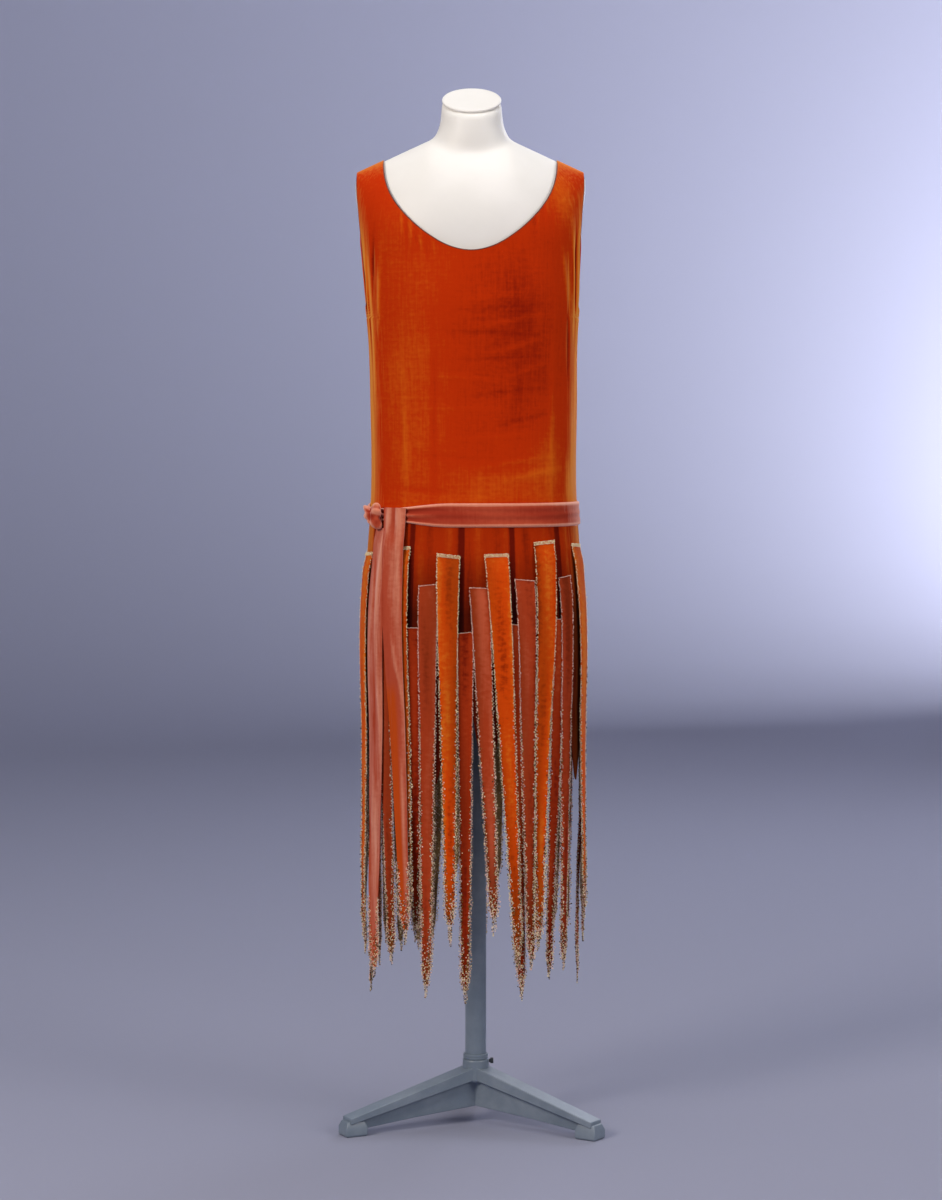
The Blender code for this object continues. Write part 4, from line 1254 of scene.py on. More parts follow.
@dataclass
class Skirt:
    """One half of the short skirt under the streamers: six gores, pressed seams, a hem cut in points."""

    body: BodyLine
    wardrobe: Wardrobe
    side: Side
    gores: int = 6
    gore_columns: int = 18
    rows: int = 44
    first_seam: float = -0.0185
    seam_depth: float = 0.0016
    seam_width: float = 0.0032
    point_power: float = 1.3
    puckers_a_metre: float = 420.0
    seam_shade: float = 0.60

    def build(self) -> bpy.types.Object:
        """Build the panel.

        Returns:
            The panel.
        """
        shares = np.linspace(0.0, 1.0, self.gores * self.gore_columns + 1)
        middle = 0.0 if self.side is Side.FRONT else 1.0
        half_seam = GAP / self.body.hip_round
        turn = middle - 0.5 + shares + half_seam * (1.0 - 2.0 * shares)
        gore = ((turn - middle - self.body.turn_of(self.first_seam)) * self.gores) % 1.0
        hem = NOTCH_Z + (POINT_Z - NOTCH_Z) * (1.0 - np.abs(2.0 * gore - 1.0) ** self.point_power)
        rise = np.linspace(0.0, 1.0, self.rows)[:, None]
        z = hem + (HIP_SEAM_Z - GAP * 0.5 - hem) * rise
        turn = np.broadcast_to(turn, z.shape)
        nearest = np.minimum(gore, 1.0 - gore) / self.gores * self.body.hip_round / 2.0
        pucker = 0.75 + 0.25 * np.sin(z * self.puckers_a_metre + 3.0 * turn)
        near_seam = np.exp(-((nearest / self.seam_width) ** 2))
        groove = self.seam_depth * near_seam * pucker
        normal = self.body.outward(turn, z)
        inner = self.body.point(turn, z) + normal * (GAP - groove)[..., None]
        name = "skirt_" + self.side.value
        panel = MeshMaker.shell("velvet_" + name, inner, inner + normal * CLOTH, self.wardrobe.skirt,
                                self.wardrobe.lining)
        # Painted shade in the pressed seams, with faint stripes of tone between them
        nap_and_light = -self.seam_shade * near_seam
        nap_and_light = nap_and_light + 0.07 * np.sin(turn * 61.0 + 0.6 * np.sin(z * 30.0)) + 0.05 * np.sin(turn * 137.0)
        MeshMaker.paint(panel, "nap_and_light", np.tile(nap_and_light.ravel(), 2))
        stand_in(panel, name)
        return panel


class BeadString:
    """Many small cut glass beads joined to one mesh: six sides drawn in to a point at each end."""

    SIDES = 6
    END = 0.85

    def __init__(self, seed: int) -> None:
        """Start with no beads.

        Args:
            seed: The seed of their small differences.
        """
        self.random = np.random.default_rng(seed)
        self.centres: list[np.ndarray] = []
        self.radii: list[np.ndarray] = []
        self.tones: list[np.ndarray] = []
        angles = np.arange(self.SIDES) * 2.0 * math.pi / self.SIDES
        belt = np.stack([np.cos(angles), np.sin(angles), np.zeros(self.SIDES)], axis=-1)
        self.corners = np.concatenate([belt, [(0.0, 0.0, self.END), (0.0, 0.0, -self.END)]])
        top, foot = self.SIDES, self.SIDES + 1
        ring = [(i, (i + 1) % self.SIDES) for i in range(self.SIDES)]
        self.faces = np.array([(i, k, top) for i, k in ring] + [(k, i, foot) for i, k in ring])

    def add(self, centres: np.ndarray, radius: float, tone: BeadTone, spread: float = 0.22) -> None:
        """Add beads.

        Args:
            centres: Their middles.
            radius: Their mean radius.
            tone: What they are threaded from.
            spread: How far their radii differ, as a share.
        """
        count = len(centres)
        self.centres.append(centres)
        self.radii.append(radius * (1.0 + spread * self.random.uniform(-1.0, 1.0, count)))
        self.tones.append(self.random.uniform(*tone.value, count))

    def build(self, name: str, material: bpy.types.Material) -> bpy.types.Object:
        """Build the joined mesh.

        Args:
            name: The piece's name.
            material: Its material.

        Returns:
            The object.
        """
        centres = np.concatenate(self.centres)
        radii = np.concatenate(self.radii)
        count = len(centres)
        turns = np.linalg.qr(self.random.normal(size=(count, 3, 3)))[0]
        turns *= np.sign(np.linalg.det(turns))[:, None, None]
        points = centres[:, None] + radii[:, None, None] * (self.corners[None] @ turns)
        faces = (self.faces[None] + len(self.corners) * np.arange(count)[:, None, None]).reshape(-1, 3)
        obj = MeshMaker.place(name, points, faces.tolist(), [material], smooth=False)
        MeshMaker.paint(obj, "bead_tone", np.repeat(np.concatenate(self.tones), len(self.corners)))
        return obj


@dataclass
class Strip:
    """One hanging strip of velvet: a streamer or a tail of the sash.

    Seat and end are distances along the hip from the middle, rank is how many layers it lies above the skirt,
    swing is how far its end hangs out, and turned is 1 on the back.
    """

    body: BodyLine
    name: str
    layer: Layer
    seat: float
    top_z: float
    top_width: float
    end: float
    end_z: float
    end_width: float
    rank: float
    swing: float
    turned: float = 0.0
    seed: int = 0
    taper: float = 0.8
    top_ramp: float = 0.030
    wave: float = 0.0016
    creases: tuple[Crease, ...] = ()
    over_sash: bool = False
    bulge: float = 0.0
    orange_below: float = 0.0
    point_length: float = 0.024

    LOW_TAIL_RANK = 3.2
    SWING_FULL_Z = 0.25
    SASH_LEFT_Z, SASH_LEFT_DROP = 0.890, 0.030
    POINT_SHARE = 0.5
    CROWN = 0.00035
    CURL = 0.0016
    TOP_LEAN = 0.0035
    END_FROM, END_REACH = 0.72, 0.25

    def middle(self, z: np.ndarray) -> np.ndarray:
        """The distance of the strip's middle along the hip at heights."""
        return self.seat + (self.end - self.seat) * (self.top_z - z) / (self.top_z - self.end_z)

    def width(self, z: np.ndarray) -> np.ndarray:
        """The strip's width at heights."""
        share = np.clip((self.top_z - z) / (self.top_z - self.end_z), 0.0, 1.0)
        swell = self.bulge * soft_step((share - 0.05) / 0.12) * soft_step((1.0 - share) / 0.7)
        point = soft_step((self.end_z + self.point_length - z) / self.point_length)
        drawn_in = 1.0 - self.POINT_SHARE * point
        return (self.top_width + (self.end_width - self.top_width) * share**self.taper + swell) * drawn_in

    def out(self, z: np.ndarray) -> np.ndarray:
        """How far the strip's inner face is from the body line."""
        free = soft_step((SWING_FROM_Z - z) / (SWING_FROM_Z - self.SWING_FULL_Z))
        over = PANEL_OUTER + SEAT_GAP
        if self.over_sash:
            lift = soft_step((self.SASH_LEFT_Z - z) / self.SASH_LEFT_DROP)
            sash = SashBand.THICKNESS + SEAT_GAP + (self.rank - self.LOW_TAIL_RANK) * LAYER_STEP
            return over + sash + (self.rank * LAYER_STEP - sash) * lift + self.swing * free
        ramp = soft_step((self.top_z - z) / self.top_ramp)
        return over + self.rank * ramp * LAYER_STEP + self.swing * free

    def relief(self, across: np.ndarray, z: np.ndarray) -> np.ndarray:
        """Waves, a crown, curled edges and the creases of the hanging cloth, across from -0.5 to 0.5."""
        phase = self.seed * 1.7
        loose = soft_step((self.top_z - 0.05 - z) / 0.12)
        free = soft_step((SWING_FROM_Z - z) / 0.2)
        out = self.CROWN * (1.0 - 4.0 * across**2) * loose
        wave = np.sin(z * 23.0 + phase) + 0.6 * np.sin(z * 51.0 + 2.1 * phase + 2.0 * across)
        out = out + self.wave * 0.5 * wave * free
        out = out - self.CURL * free * np.abs(2.0 * across) ** 3 * np.sin(phase + 9.0 * z)
        return out + self.crease_height(across, z)

    def crease_height(self, across: np.ndarray, z: np.ndarray) -> np.ndarray:
        """How far the listed creases lift the cloth."""
        flat = np.zeros(np.broadcast(across, z).shape)
        return flat + sum(crease.height(across * self.width(z), z) for crease in self.creases)

    def points(self, across: np.ndarray, z: np.ndarray, lift: float = 0.0) -> tuple[np.ndarray, np.ndarray]:
        """Points of the strip's inner face.

        Args:
            across: Places across it, from -0.5 to 0.5.
            z: Heights.
            lift: How far past the inner face.

        Returns:
            The points and the outward directions.
        """
        across, z = np.broadcast_arrays(across, z)
        lean = 0.0 if self.over_sash else self.TOP_LEAN * math.sin(1.9 * self.seed + 0.8)
        z = z + lean * across * soft_step((z - self.top_z + 0.030) / 0.025)
        distance = self.middle(z) + self.width(z) * across
        turn = self.body.turn_of(distance) + self.turned
        normal = self.body.outward(turn, z)
        out = self.out(z) + self.relief(across, z) + lift
        return self.body.point(turn, z) + normal * out[..., None], normal

    def cloth(self, wardrobe: Wardrobe, columns: int = 8,
              step: float = 0.008) -> tuple[bpy.types.Object, np.ndarray]:
        """Build the strip's cloth.

        Args:
            wardrobe: The finishes.
            columns: Cells across it.
            step: The height of a cell.

        Returns:
            The piece and its inner face's points.
        """
        rows = int((self.top_z - self.end_z) / step) + 1
        z = np.linspace(self.end_z, self.top_z, rows)[:, None]
        across = np.linspace(-0.5, 0.5, columns + 1)[None, :]
        inner, normal = self.points(across, z)
        outer = inner + normal * CLOTH
        velvet = wardrobe.sash if self.over_sash else wardrobe.velvet[self.layer]
        piece = MeshMaker.shell("velvet_" + self.name, inner, outer, velvet, wardrobe.reverse)
        self.paint_pile_and_light(piece, across, z)
        stand_in(piece, self.name)
        return piece, inner

    def paint_pile_and_light(self, piece: bpy.types.Object, across: np.ndarray, z: np.ndarray) -> None:
        """Keep how bright the cloth is painted at each point, painted highlights on the crease crests and
        painted shade in the troughs with soft lighter and darker bands, and patches of the turned colour,
        which on the streamers also stand in for painted shade from the strips over them.

        Args:
            piece: The strip.
            across: Places across its grid.
            z: Heights of its grid.
        """
        phase = 1.7 * self.seed
        nap_and_light = CREASE_LIGHT_AND_SHADE * self.crease_height(across, z)
        nap_and_light = nap_and_light + 0.10 * np.sin(3.0 * across + phase)
        nap_and_light = nap_and_light + 0.14 * np.sin(z * 17.0 + phase) * np.cos(5.0 * across)
        if self.orange_below:
            turned = soft_step((self.orange_below - z) / 0.03) * soft_step((0.20 - across) / 0.3)
        else:
            drift = np.sin(z * 8.0 + 2.3 * phase) + 0.5 * np.sin(z * 19.0 + phase)
            aslant = 0.35 + 1.6 * across * math.sin(1.3 * self.seed)
            turned = 0.8 * soft_step(aslant + 0.3 * drift) * self.pile_turns()
            low = (self.top_z - z) / (self.top_z - self.end_z)
            browned = soft_step((low - self.END_FROM + 0.05 * drift) / self.END_REACH)
            turned = np.maximum(turned, 0.75 * browned)
        for name, values in (("nap_and_light", nap_and_light), ("turned", turned + 0.0 * nap_and_light)):
            MeshMaker.paint(piece, name, np.tile(np.broadcast_to(values, nap_and_light.shape).ravel(), 2))

    def pile_turns(self) -> float:
        """How much of the pile lies the other way, brown patches that partly stand in for painted shade: most
        on every third strip, none on a sash tail.
        """
        return 0.0 if self.over_sash else 0.25 + 0.55 * abs(math.sin(2.1 * self.seed + 0.4))


@dataclass
class BeadTrim:
    """The beads of one strip: looped rows down its edges, the bound top, the covered end and the fringe."""

    strip: Strip
    spacing: float = 0.0023
    radius: float = 0.00118
    loop_out: float = 0.0019
    heavy_from: float = 0.34
    cover_from: float = 0.74
    thick_from: float = 0.93
    lined: bool = False
    strands: int = 5
    drop: float = 0.018
    edges_from: float = 0.0
    bound_top: bool = True

    THREADED = 0.94
    NEAR_FACE = 0.3
    FINE_FROM, FINE_REACH = 0.15, 0.30
    LOOSE_FROM, LOOSE_TO, LOOSE_REACH = -0.0034, 0.0038, 0.35
    FEW = 0.35

    def build(self, wardrobe: Wardrobe) -> bpy.types.Object:
        """Build all the strip's beads.

        Args:
            wardrobe: The finishes.

        Returns:
            The beads.
        """
        string = BeadString(self.strip.seed)
        for side in (-1.0, 1.0):
            self.edge_row(string, side)
        if self.bound_top:
            self.top_rows(string)
        sunk = self.NEAR_FACE * self.radius
        self.cover(string, self.cover_from, 2, CLOTH + sunk)
        self.cover(string, self.thick_from, 3, CLOTH + sunk, whole=True)
        if self.lined:
            self.cover(string, self.heavy_from, 1, -sunk, whole=True)
        self.fringe(string)
        return string.build("beads_" + self.strip.name, wardrobe.beads)

    def heights(self, string: BeadString, start: float) -> np.ndarray:
        """Heights of a row of beads, a few of them missing.

        Args:
            string: The beads.
            start: Where the row starts, as a share of the strip's length.

        Returns:
            The heights.
        """
        s = self.strip
        length = s.top_z - s.end_z
        z = np.arange(s.top_z - start * length, s.end_z, -self.spacing)
        return z[string.random.uniform(size=len(z)) < self.THREADED]

    def share(self, z: np.ndarray) -> np.ndarray:
        """How far down the strip heights are."""
        return (self.strip.top_z - z) / (self.strip.top_z - self.strip.end_z)

    def edge_row(self, string: BeadString, side: float) -> None:
        """Thread the looped row down one edge, with a second, looser row from where it gets heavier."""
        z = self.heights(string, self.edges_from)
        fine = soft_step((self.share(z) - self.FINE_FROM) / self.FINE_REACH)
        tone = BeadTone.CREAM_GOLD if self.strip.layer is Layer.ORANGE else BeadTone.PALE_ROSE
        loops = self.loop_out * (self.FEW + (1.0 - self.FEW) * fine)
        self.thread(string, side, z, np.where(np.arange(len(z)) % 2 == 0, 0.0002, loops), tone)
        for start in (self.heavy_from, self.cover_from - 0.12):
            z = self.heights(string, max(start, self.edges_from))
            reach = self.FEW + (1.0 - self.FEW) * soft_step((self.share(z) - start) / self.LOOSE_REACH)
            aside = string.random.uniform(self.LOOSE_FROM, self.LOOSE_TO, len(z)) * reach
            self.thread(string, side, z, aside)

    def thread(self, string: BeadString, side: float, z: np.ndarray, aside: np.ndarray,
               tone: BeadTone = BeadTone.MIXED) -> None:
        """Set beads beside an edge.

        Args:
            string: The beads.
            side: -1 for the first edge, 1 for the other.
            z: The beads' heights.
            aside: How far past the edge each sits.
            tone: What the beads are threaded from.
        """
        s = self.strip
        edge, normal = s.points(np.full_like(z, 0.5 * side), z, CLOTH * 0.8)
        near, _ = s.points(np.full_like(z, 0.4 * side), z, CLOTH * 0.8)
        away = edge - near
        away /= np.linalg.norm(away, axis=1, keepdims=True)
        jitter = string.random.normal(0.0, 0.0003, (len(z), 3))
        lift = string.random.uniform(-0.0002, 0.0010, (len(z), 1))
        size = self.radius * (0.8 + 0.2 * soft_step((self.share(z).mean() - 0.2) / 0.5))
        string.add(edge + away * aside[:, None] + normal * lift + jitter, float(size), tone)

    def cover(self, string: BeadString, start: float, rows: int, lift: float, whole: bool = False) -> None:
        """Sew beads over a face of the strip, from the edges inward and closer towards the end.

        Args:
            string: The beads.
            start: Where the cover starts, as a share of the strip's length.
            rows: How many beads each step down gets.
            lift: How far past the inner face they sit.
            whole: Whether the cover reaches across the strip everywhere.
        """
        for _ in range(rows):
            z = self.heights(string, max(start, self.edges_from))
            inward = np.clip((self.share(z) - start) / (0.97 - start), 0.0, 1.0)
            reach = 0.5 if whole else 0.08 + 0.42 * inward
            side = np.where(string.random.uniform(size=len(z)) < 0.5, -1.0, 1.0)
            across = side * (0.5 - reach * string.random.uniform(size=len(z)))
            points, _ = self.strip.points(across, z, lift)
            string.add(points, self.radius, BeadTone.MIXED)

    def top_rows(self, string: BeadString) -> None:
        """Thread the rows that bind the top: three on the outer layer, one on the others."""
        s = self.strip
        outer = s.layer is Layer.ORANGE
        tone = BeadTone.CREAM_GOLD if outer else BeadTone.PALE_ROSE
        radius = 0.00110 if outer else 0.00085
        for row in range(3 if outer else 1):
            count = int(s.top_width / (radius * 1.7))
            across = np.linspace(-0.5, 0.5, count) + (row % 2) * 0.4 / count
            z = np.full_like(across, s.top_z + 0.0004 - row * radius * 1.55)
            points, _ = s.points(np.clip(across, -0.52, 0.52), z, CLOTH + radius * 0.35)
            string.add(points + string.random.normal(0.0, 0.00014, points.shape), radius, tone, 0.12)

    def fringe(self, string: BeadString) -> None:
        """Hang the strands below the end; they draw in towards the longest one."""
        s = self.strip
        longest = (self.strands - 1) * (0.5 + 0.3 * math.sin(1.3 * s.seed))
        for k in range(self.strands):
            across = (k + 0.5) / self.strands - 0.5
            uneven = 0.5 * abs(k - longest) / self.strands + 0.15 * math.sin(2.3 * k + s.seed) ** 2
            hang = self.drop * (1.0 - uneven)
            down = np.arange(0.0, hang, self.radius * 1.8)
            start, _ = s.points(np.array([across]), np.array([s.end_z]), CLOTH * 0.5)
            middle, _ = s.points(np.array([0.0]), np.array([s.end_z]), CLOTH * 0.5)
            pull = (middle - start) * (0.45 * down[:, None] / self.drop)
            drift = string.random.normal(0.0, 0.035, 2)
            sway = np.stack([down * drift[0], down * drift[1], -down], axis=-1)
            wobble = string.random.normal(0.0, 0.0002, sway.shape)
            string.add(start + pull + sway + wobble, self.radius * 0.95, BeadTone.MIXED)


@dataclass
class Streamers:
    """All the streamers: three layers round the front, and the same round the back."""

    body: BodyLine
    wardrobe: Wardrobe

    # Seat and end are distances along the hip; a row is seat, top_z, top_width, end, end_z, end_width
    CUTS = {
        Layer.ORANGE: (
            (-0.1900, 0.8500, 0.0340, -0.1860, 0.300, 0.012),
            (-0.1140, 0.8610, 0.0340, -0.0980, 0.330, 0.014),
            (-0.0377, 0.8505, 0.0335, -0.0350, 0.315, 0.013),
            (0.0337, 0.8515, 0.0345, 0.0660, 0.268, 0.011),
            (0.1085, 0.8690, 0.0340, 0.0950, 0.292, 0.010),
            (0.1820, 0.8630, 0.0340, 0.1900, 0.330, 0.013),
        ),
        Layer.PINK: (
            (-0.1420, 0.8120, 0.0290, -0.1280, 0.268, 0.012),
            (-0.0654, 0.8070, 0.0295, -0.0720, 0.224, 0.012),
            (0.0085, 0.8030, 0.0290, 0.0300, 0.324, 0.012),
            (0.0755, 0.8140, 0.0290, 0.0860, 0.262, 0.010),
            (0.1425, 0.8170, 0.0240, 0.1430, 0.257, 0.010),
            (0.2130, 0.8100, 0.0280, 0.2060, 0.290, 0.011),
        ),
        Layer.ROSE: (
            (-0.1580, 0.7400, 0.0230, -0.1580, 0.262, 0.012),
            (-0.0860, 0.7450, 0.0240, -0.0900, 0.302, 0.011),
            (-0.0123, 0.7385, 0.0235, -0.0130, 0.217, 0.012),
            (0.0590, 0.7500, 0.0235, 0.0740, 0.220, 0.011),
            (0.1300, 0.7560, 0.0230, 0.1180, 0.245, 0.010),
            (0.2020, 0.7450, 0.0230, 0.1960, 0.232, 0.012),
        ),
    }
    BACK_SEED = 100
    BACK_END_SHIFTS = (0.022, -0.018, 0.034, -0.006, 0.012, -0.026)
    RANK = {Layer.ROSE: 0, Layer.PINK: 1, Layer.ORANGE: 2}
    SWING = {Layer.ROSE: -0.0050, Layer.PINK: 0.0, Layer.ORANGE: 0.0040}
    LONG_DROPS = {"orange_front_3": 0.036, "pink_front_3": 0.028, "rose_front_3": 0.022,
                  "pink_front_2": 0.020, "rose_front_4": 0.020}
    DROP = 0.018
    FRINGE_NODES = ("orange_front_3", "orange_front_4", "orange_front_5", "pink_front_2", "pink_front_3",
                    "pink_front_5", "rose_front_3", "rose_front_4")

    def build(self) -> None:
        """Build every streamer with its beads."""
        for side, turned in ((Side.FRONT, 0.0), (Side.BACK, 1.0)):
            cuts = [(layer, number, cut) for layer, rows in self.CUTS.items()
                    for number, cut in enumerate(rows)]
            for place, (layer, number, cut) in enumerate(cuts):
                short = "%s_%s_%d" % (layer.value, side.value, number + 1)
                seat, top_z, top_width, end, end_z, end_width = cut
                if side is Side.BACK:
                    end_z += self.BACK_END_SHIFTS[number]
                strip = Strip(self.body, "streamer_" + short, layer, seat, top_z, top_width,
                              end, end_z, end_width,
                              self.RANK[layer], self.SWING[layer], turned,
                              seed=place + (self.BACK_SEED if side is Side.BACK else 0))
                piece, inner = strip.cloth(self.wardrobe)
                beads = BeadTrim(strip, drop=self.LONG_DROPS.get(short, self.DROP),
                                 lined=side is Side.BACK).build(self.wardrobe)
                if short in self.FRINGE_NODES:
                    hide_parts("fringe_" + short)


@dataclass
class SashBand:
    """The sash round the low hips: one flattened tube of velvet, gathered in two folds into the knot."""

    body: BodyLine
    wardrobe: Wardrobe
    z: float = 0.908
    height: float = 0.0350
    gathered_height: float = 0.018
    knot_seat: float = -0.166
    gather_reach: float = 0.110
    columns: int = 420
    across: int = 26
    fold_valley: float = 0.40
    gathered_from: float = 0.022
    roll_at: float = 0.86
    roll_width: float = 0.10
    roll_height: float = 0.0008
    press_depth: float = 0.0004
    fold_height: float = 0.0024
    thinnest: float = 0.0002

    THICKNESS = 0.0026

    def build(self) -> bpy.types.Object:
        """Build the band.

        Returns:
            The band.
        """
        turn = np.linspace(-1.0, 1.0, self.columns, endpoint=False)
        distance = self.body.distance_of(turn)
        away = np.abs(distance - self.knot_seat)
        away = np.minimum(away, self.body.hip_round - away)
        gathered = 1.0 - soft_step((away - self.gathered_from) / self.gather_reach)
        half = 0.5 * (self.height + (self.gathered_height - self.height) * gathered)
        up = np.linspace(-1.0, 1.0, self.across)
        inside = 1.0 - np.abs(up) ** 4
        rolled = np.exp(-(((np.abs(up) - self.roll_at) / self.roll_width) ** 2))
        flat = self.THICKNESS * (1.0 - np.abs(up) ** 9) ** 0.5
        folds = np.cos(2.0 * math.pi * up * 1.05 + 0.5)
        drift = np.sin(distance[:, None] * 21.0) * 0.25
        press = self.press_depth * np.cos(3.0 * math.pi * (up[None, :] + drift * 0.3)) * inside
        outer = flat[None, :] + self.roll_height * rolled[None, :] + press
        outer = outer + gathered[:, None] * (self.fold_height * folds * inside)[None, :]
        outer = np.maximum(outer, self.thinnest)
        base = PANEL_OUTER + SEAT_GAP
        z = self.z + half[:, None] * up[None, :]
        wide_turn = np.broadcast_to(turn[:, None], z.shape)
        normal = self.body.outward(wide_turn, z)
        ground = self.body.point(wide_turn, z)
        front = ground + normal * (base + outer)[..., None]
        back = (ground + normal * base)[:, 1:-1][:, ::-1]
        rings = np.concatenate([front, back], axis=1)[:, ::-1]
        band = MeshMaker.loft("velvet_sash_band", rings, self.wardrobe.sash, joined=True, sharp=70.0)
        # Painted highlights on the rolled edges and the fold crests, painted shade in the valley between the
        # folds, darker along the middle, and faint stripes of tone
        nap_and_light = 0.70 * rolled - 0.20 * (1.0 - up**2)
        between = np.exp(-(((up - self.fold_valley) / 0.13) ** 2))
        nap_and_light = nap_and_light[None, :] + gathered[:, None] * (0.45 * folds - 1.3 * between)[None, :]
        nap_and_light = nap_and_light + 0.06 * np.sin(distance[:, None] * 37.0 + 1.5 * up[None, :])
        nap_and_light = np.concatenate([nap_and_light, np.zeros((len(nap_and_light), self.across - 2))], axis=1)[:, ::-1]
        MeshMaker.paint(band, "nap_and_light", nap_and_light)
        stand_in(band, "sash_band")
        drawn_in = self.body.level(self.z, "half_width") / self.body.level(HIP_Z, "half_width")
        return band


@dataclass
class SashKnot:
    """The knot: a small crushed lobe of velvet with tucks and one pointed corner."""

    body: BodyLine
    wardrobe: Wardrobe
    seat: float = -0.158
    z: float = 0.904
    size: tuple[float, float, float] = (0.033, 0.018, 0.032)
    rings: int = 40
    sides: int = 72
    pole: float = 0.02

    # Two corners drawn out to a point: direction, spread and how far
    CORNERS = ((2.5, 0.22, 0.55), (-2.2, 0.20, 0.25))

    def build(self) -> bpy.types.Object:
        """Build the knot.

        Returns:
            The knot.
        """
        turn = np.array(self.body.turn_of(self.seat))
        normal = self.body.outward(turn, np.array(self.z))
        up = np.array((0.0, 0.0, 1.0))
        along = np.cross(up, normal)
        along /= np.linalg.norm(along)
        width, depth, height = self.size
        out = PANEL_OUTER + SEAT_GAP + SashBand.THICKNESS + GAP + depth * 0.5
        centre = self.body.point(turn, np.array(self.z)) + normal * out
        theta = np.linspace(self.pole, math.pi - self.pole, self.rings)[:, None]
        phi = np.linspace(0.0, 2.0 * math.pi, self.sides, endpoint=False)[None, :]
        x = np.sin(theta) * np.cos(phi)
        y = np.sin(theta) * np.sin(phi)
        z = np.cos(theta) * np.ones_like(phi)
        face = np.arctan2(z, x)
        pinch = 1.0 - 0.20 * np.cos(3.0 * face)
        tucks = (1.0 + 0.11 * np.cos(5.2 * (0.75 * x + 0.66 * z) + 0.9 + 1.5 * y)
                 + 0.07 * np.cos(9.1 * (0.35 * x - 0.90 * z) + 2.2 * y))
        corner = 1.0 + sum(far * np.exp(-(((face - at) / spread) ** 2)) for at, spread, far in self.CORNERS)
        slit = 1.0 - 0.20 * np.exp(-((x / 0.12) ** 2))
        radius = 0.5 * pinch * tucks * corner
        points = (centre + along * (x * radius * width)[..., None]
                  + normal * (y * 0.5 * tucks * slit * depth)[..., None]
                  + up * (z * radius * height)[..., None])
        knot = MeshMaker.loft("velvet_sash_knot", points[::-1, ::-1], self.wardrobe.sash, sharp=75.0)
        # Painted light on the knot: brighter on the tucks' crests, painted shade in their hollows and in the
        # slit
        MeshMaker.paint(knot, "nap_and_light", (3.0 * (tucks - 1.0) + 1.0 * (slit - 1.0))[::-1, ::-1])
        stand_in(knot, "sash_knot")
        return knot


@dataclass
class SashTails:
    """The two hanging ends of the sash, the front one crossing the band and the rear one beside it."""

    body: BodyLine
    wardrobe: Wardrobe

    def build(self) -> None:
        """Build both tails with the beads at their ends."""
        rear = Strip(self.body, "sash_tail_rear", Layer.PINK, seat=-0.1475, top_z=0.8880, top_width=0.0275,
                     end=-0.1540, end_z=0.246, end_width=0.017, rank=Strip.LOW_TAIL_RANK, swing=0.0040,
                     seed=41, creases=REAR_TAIL_CREASES, over_sash=True, bulge=0.0062)
        front = Strip(self.body, "sash_tail_front", Layer.PINK, seat=-0.1240, top_z=0.9180, top_width=0.039,
                      end=-0.0985, end_z=0.306, end_width=0.013, rank=4.4, swing=0.0040,
                      seed=52, creases=FRONT_TAIL_CREASES, over_sash=True, orange_below=0.672)
        for strip, drop in ((rear, 0.018), (front, 0.026)):
            piece, inner = strip.cloth(self.wardrobe, columns=16)
            trim = BeadTrim(strip, drop=drop, edges_from=0.84, cover_from=0.86, bound_top=False)
            beads = trim.build(self.wardrobe)
            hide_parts("fringe_" + strip.name)


# Rows of creases: across, z, width, length, rise and tilt, as in Crease
REAR_TAIL_CREASES = tuple(Crease(*row) for row in (
    (0.0045, 0.830, 0.0027, 0.055, 0.0017, 3.0),
    (-0.0030, 0.800, 0.0024, 0.070, -0.0008, -2.0),
    (-0.0095, 0.740, 0.0035, 0.110, 0.0007, 2.0),
    (0.0070, 0.640, 0.0035, 0.090, 0.0008, -3.0),
    (0.0005, 0.600, 0.0027, 0.120, -0.0006, 1.0),
    (-0.0040, 0.480, 0.0038, 0.130, 0.0007, 2.0),
    (0.0045, 0.380, 0.0030, 0.090, 0.0004, -2.0),
))

FRONT_TAIL_CREASES = tuple(Crease(*row) for row in (
    (-0.0085, 0.905, 0.0054, 0.022, 0.0014, 4.0),
    (0.0080, 0.906, 0.0057, 0.020, 0.0013, -4.0),
    (-0.0005, 0.900, 0.0022, 0.030, -0.0012),
    (-0.0125, 0.850, 0.0030, 0.070, 0.0008, 2.0),
    (0.0105, 0.815, 0.0041, 0.090, 0.0006, -2.0),
    (-0.0010, 0.770, 0.0041, 0.080, -0.0005, 4.0),
    (0.0040, 0.690, 0.0022, 0.050, 0.0009, -8.0),
    (-0.0050, 0.620, 0.0030, 0.100, 0.0006, 1.0),
    (0.0035, 0.500, 0.0027, 0.120, 0.0005, -1.0),
))

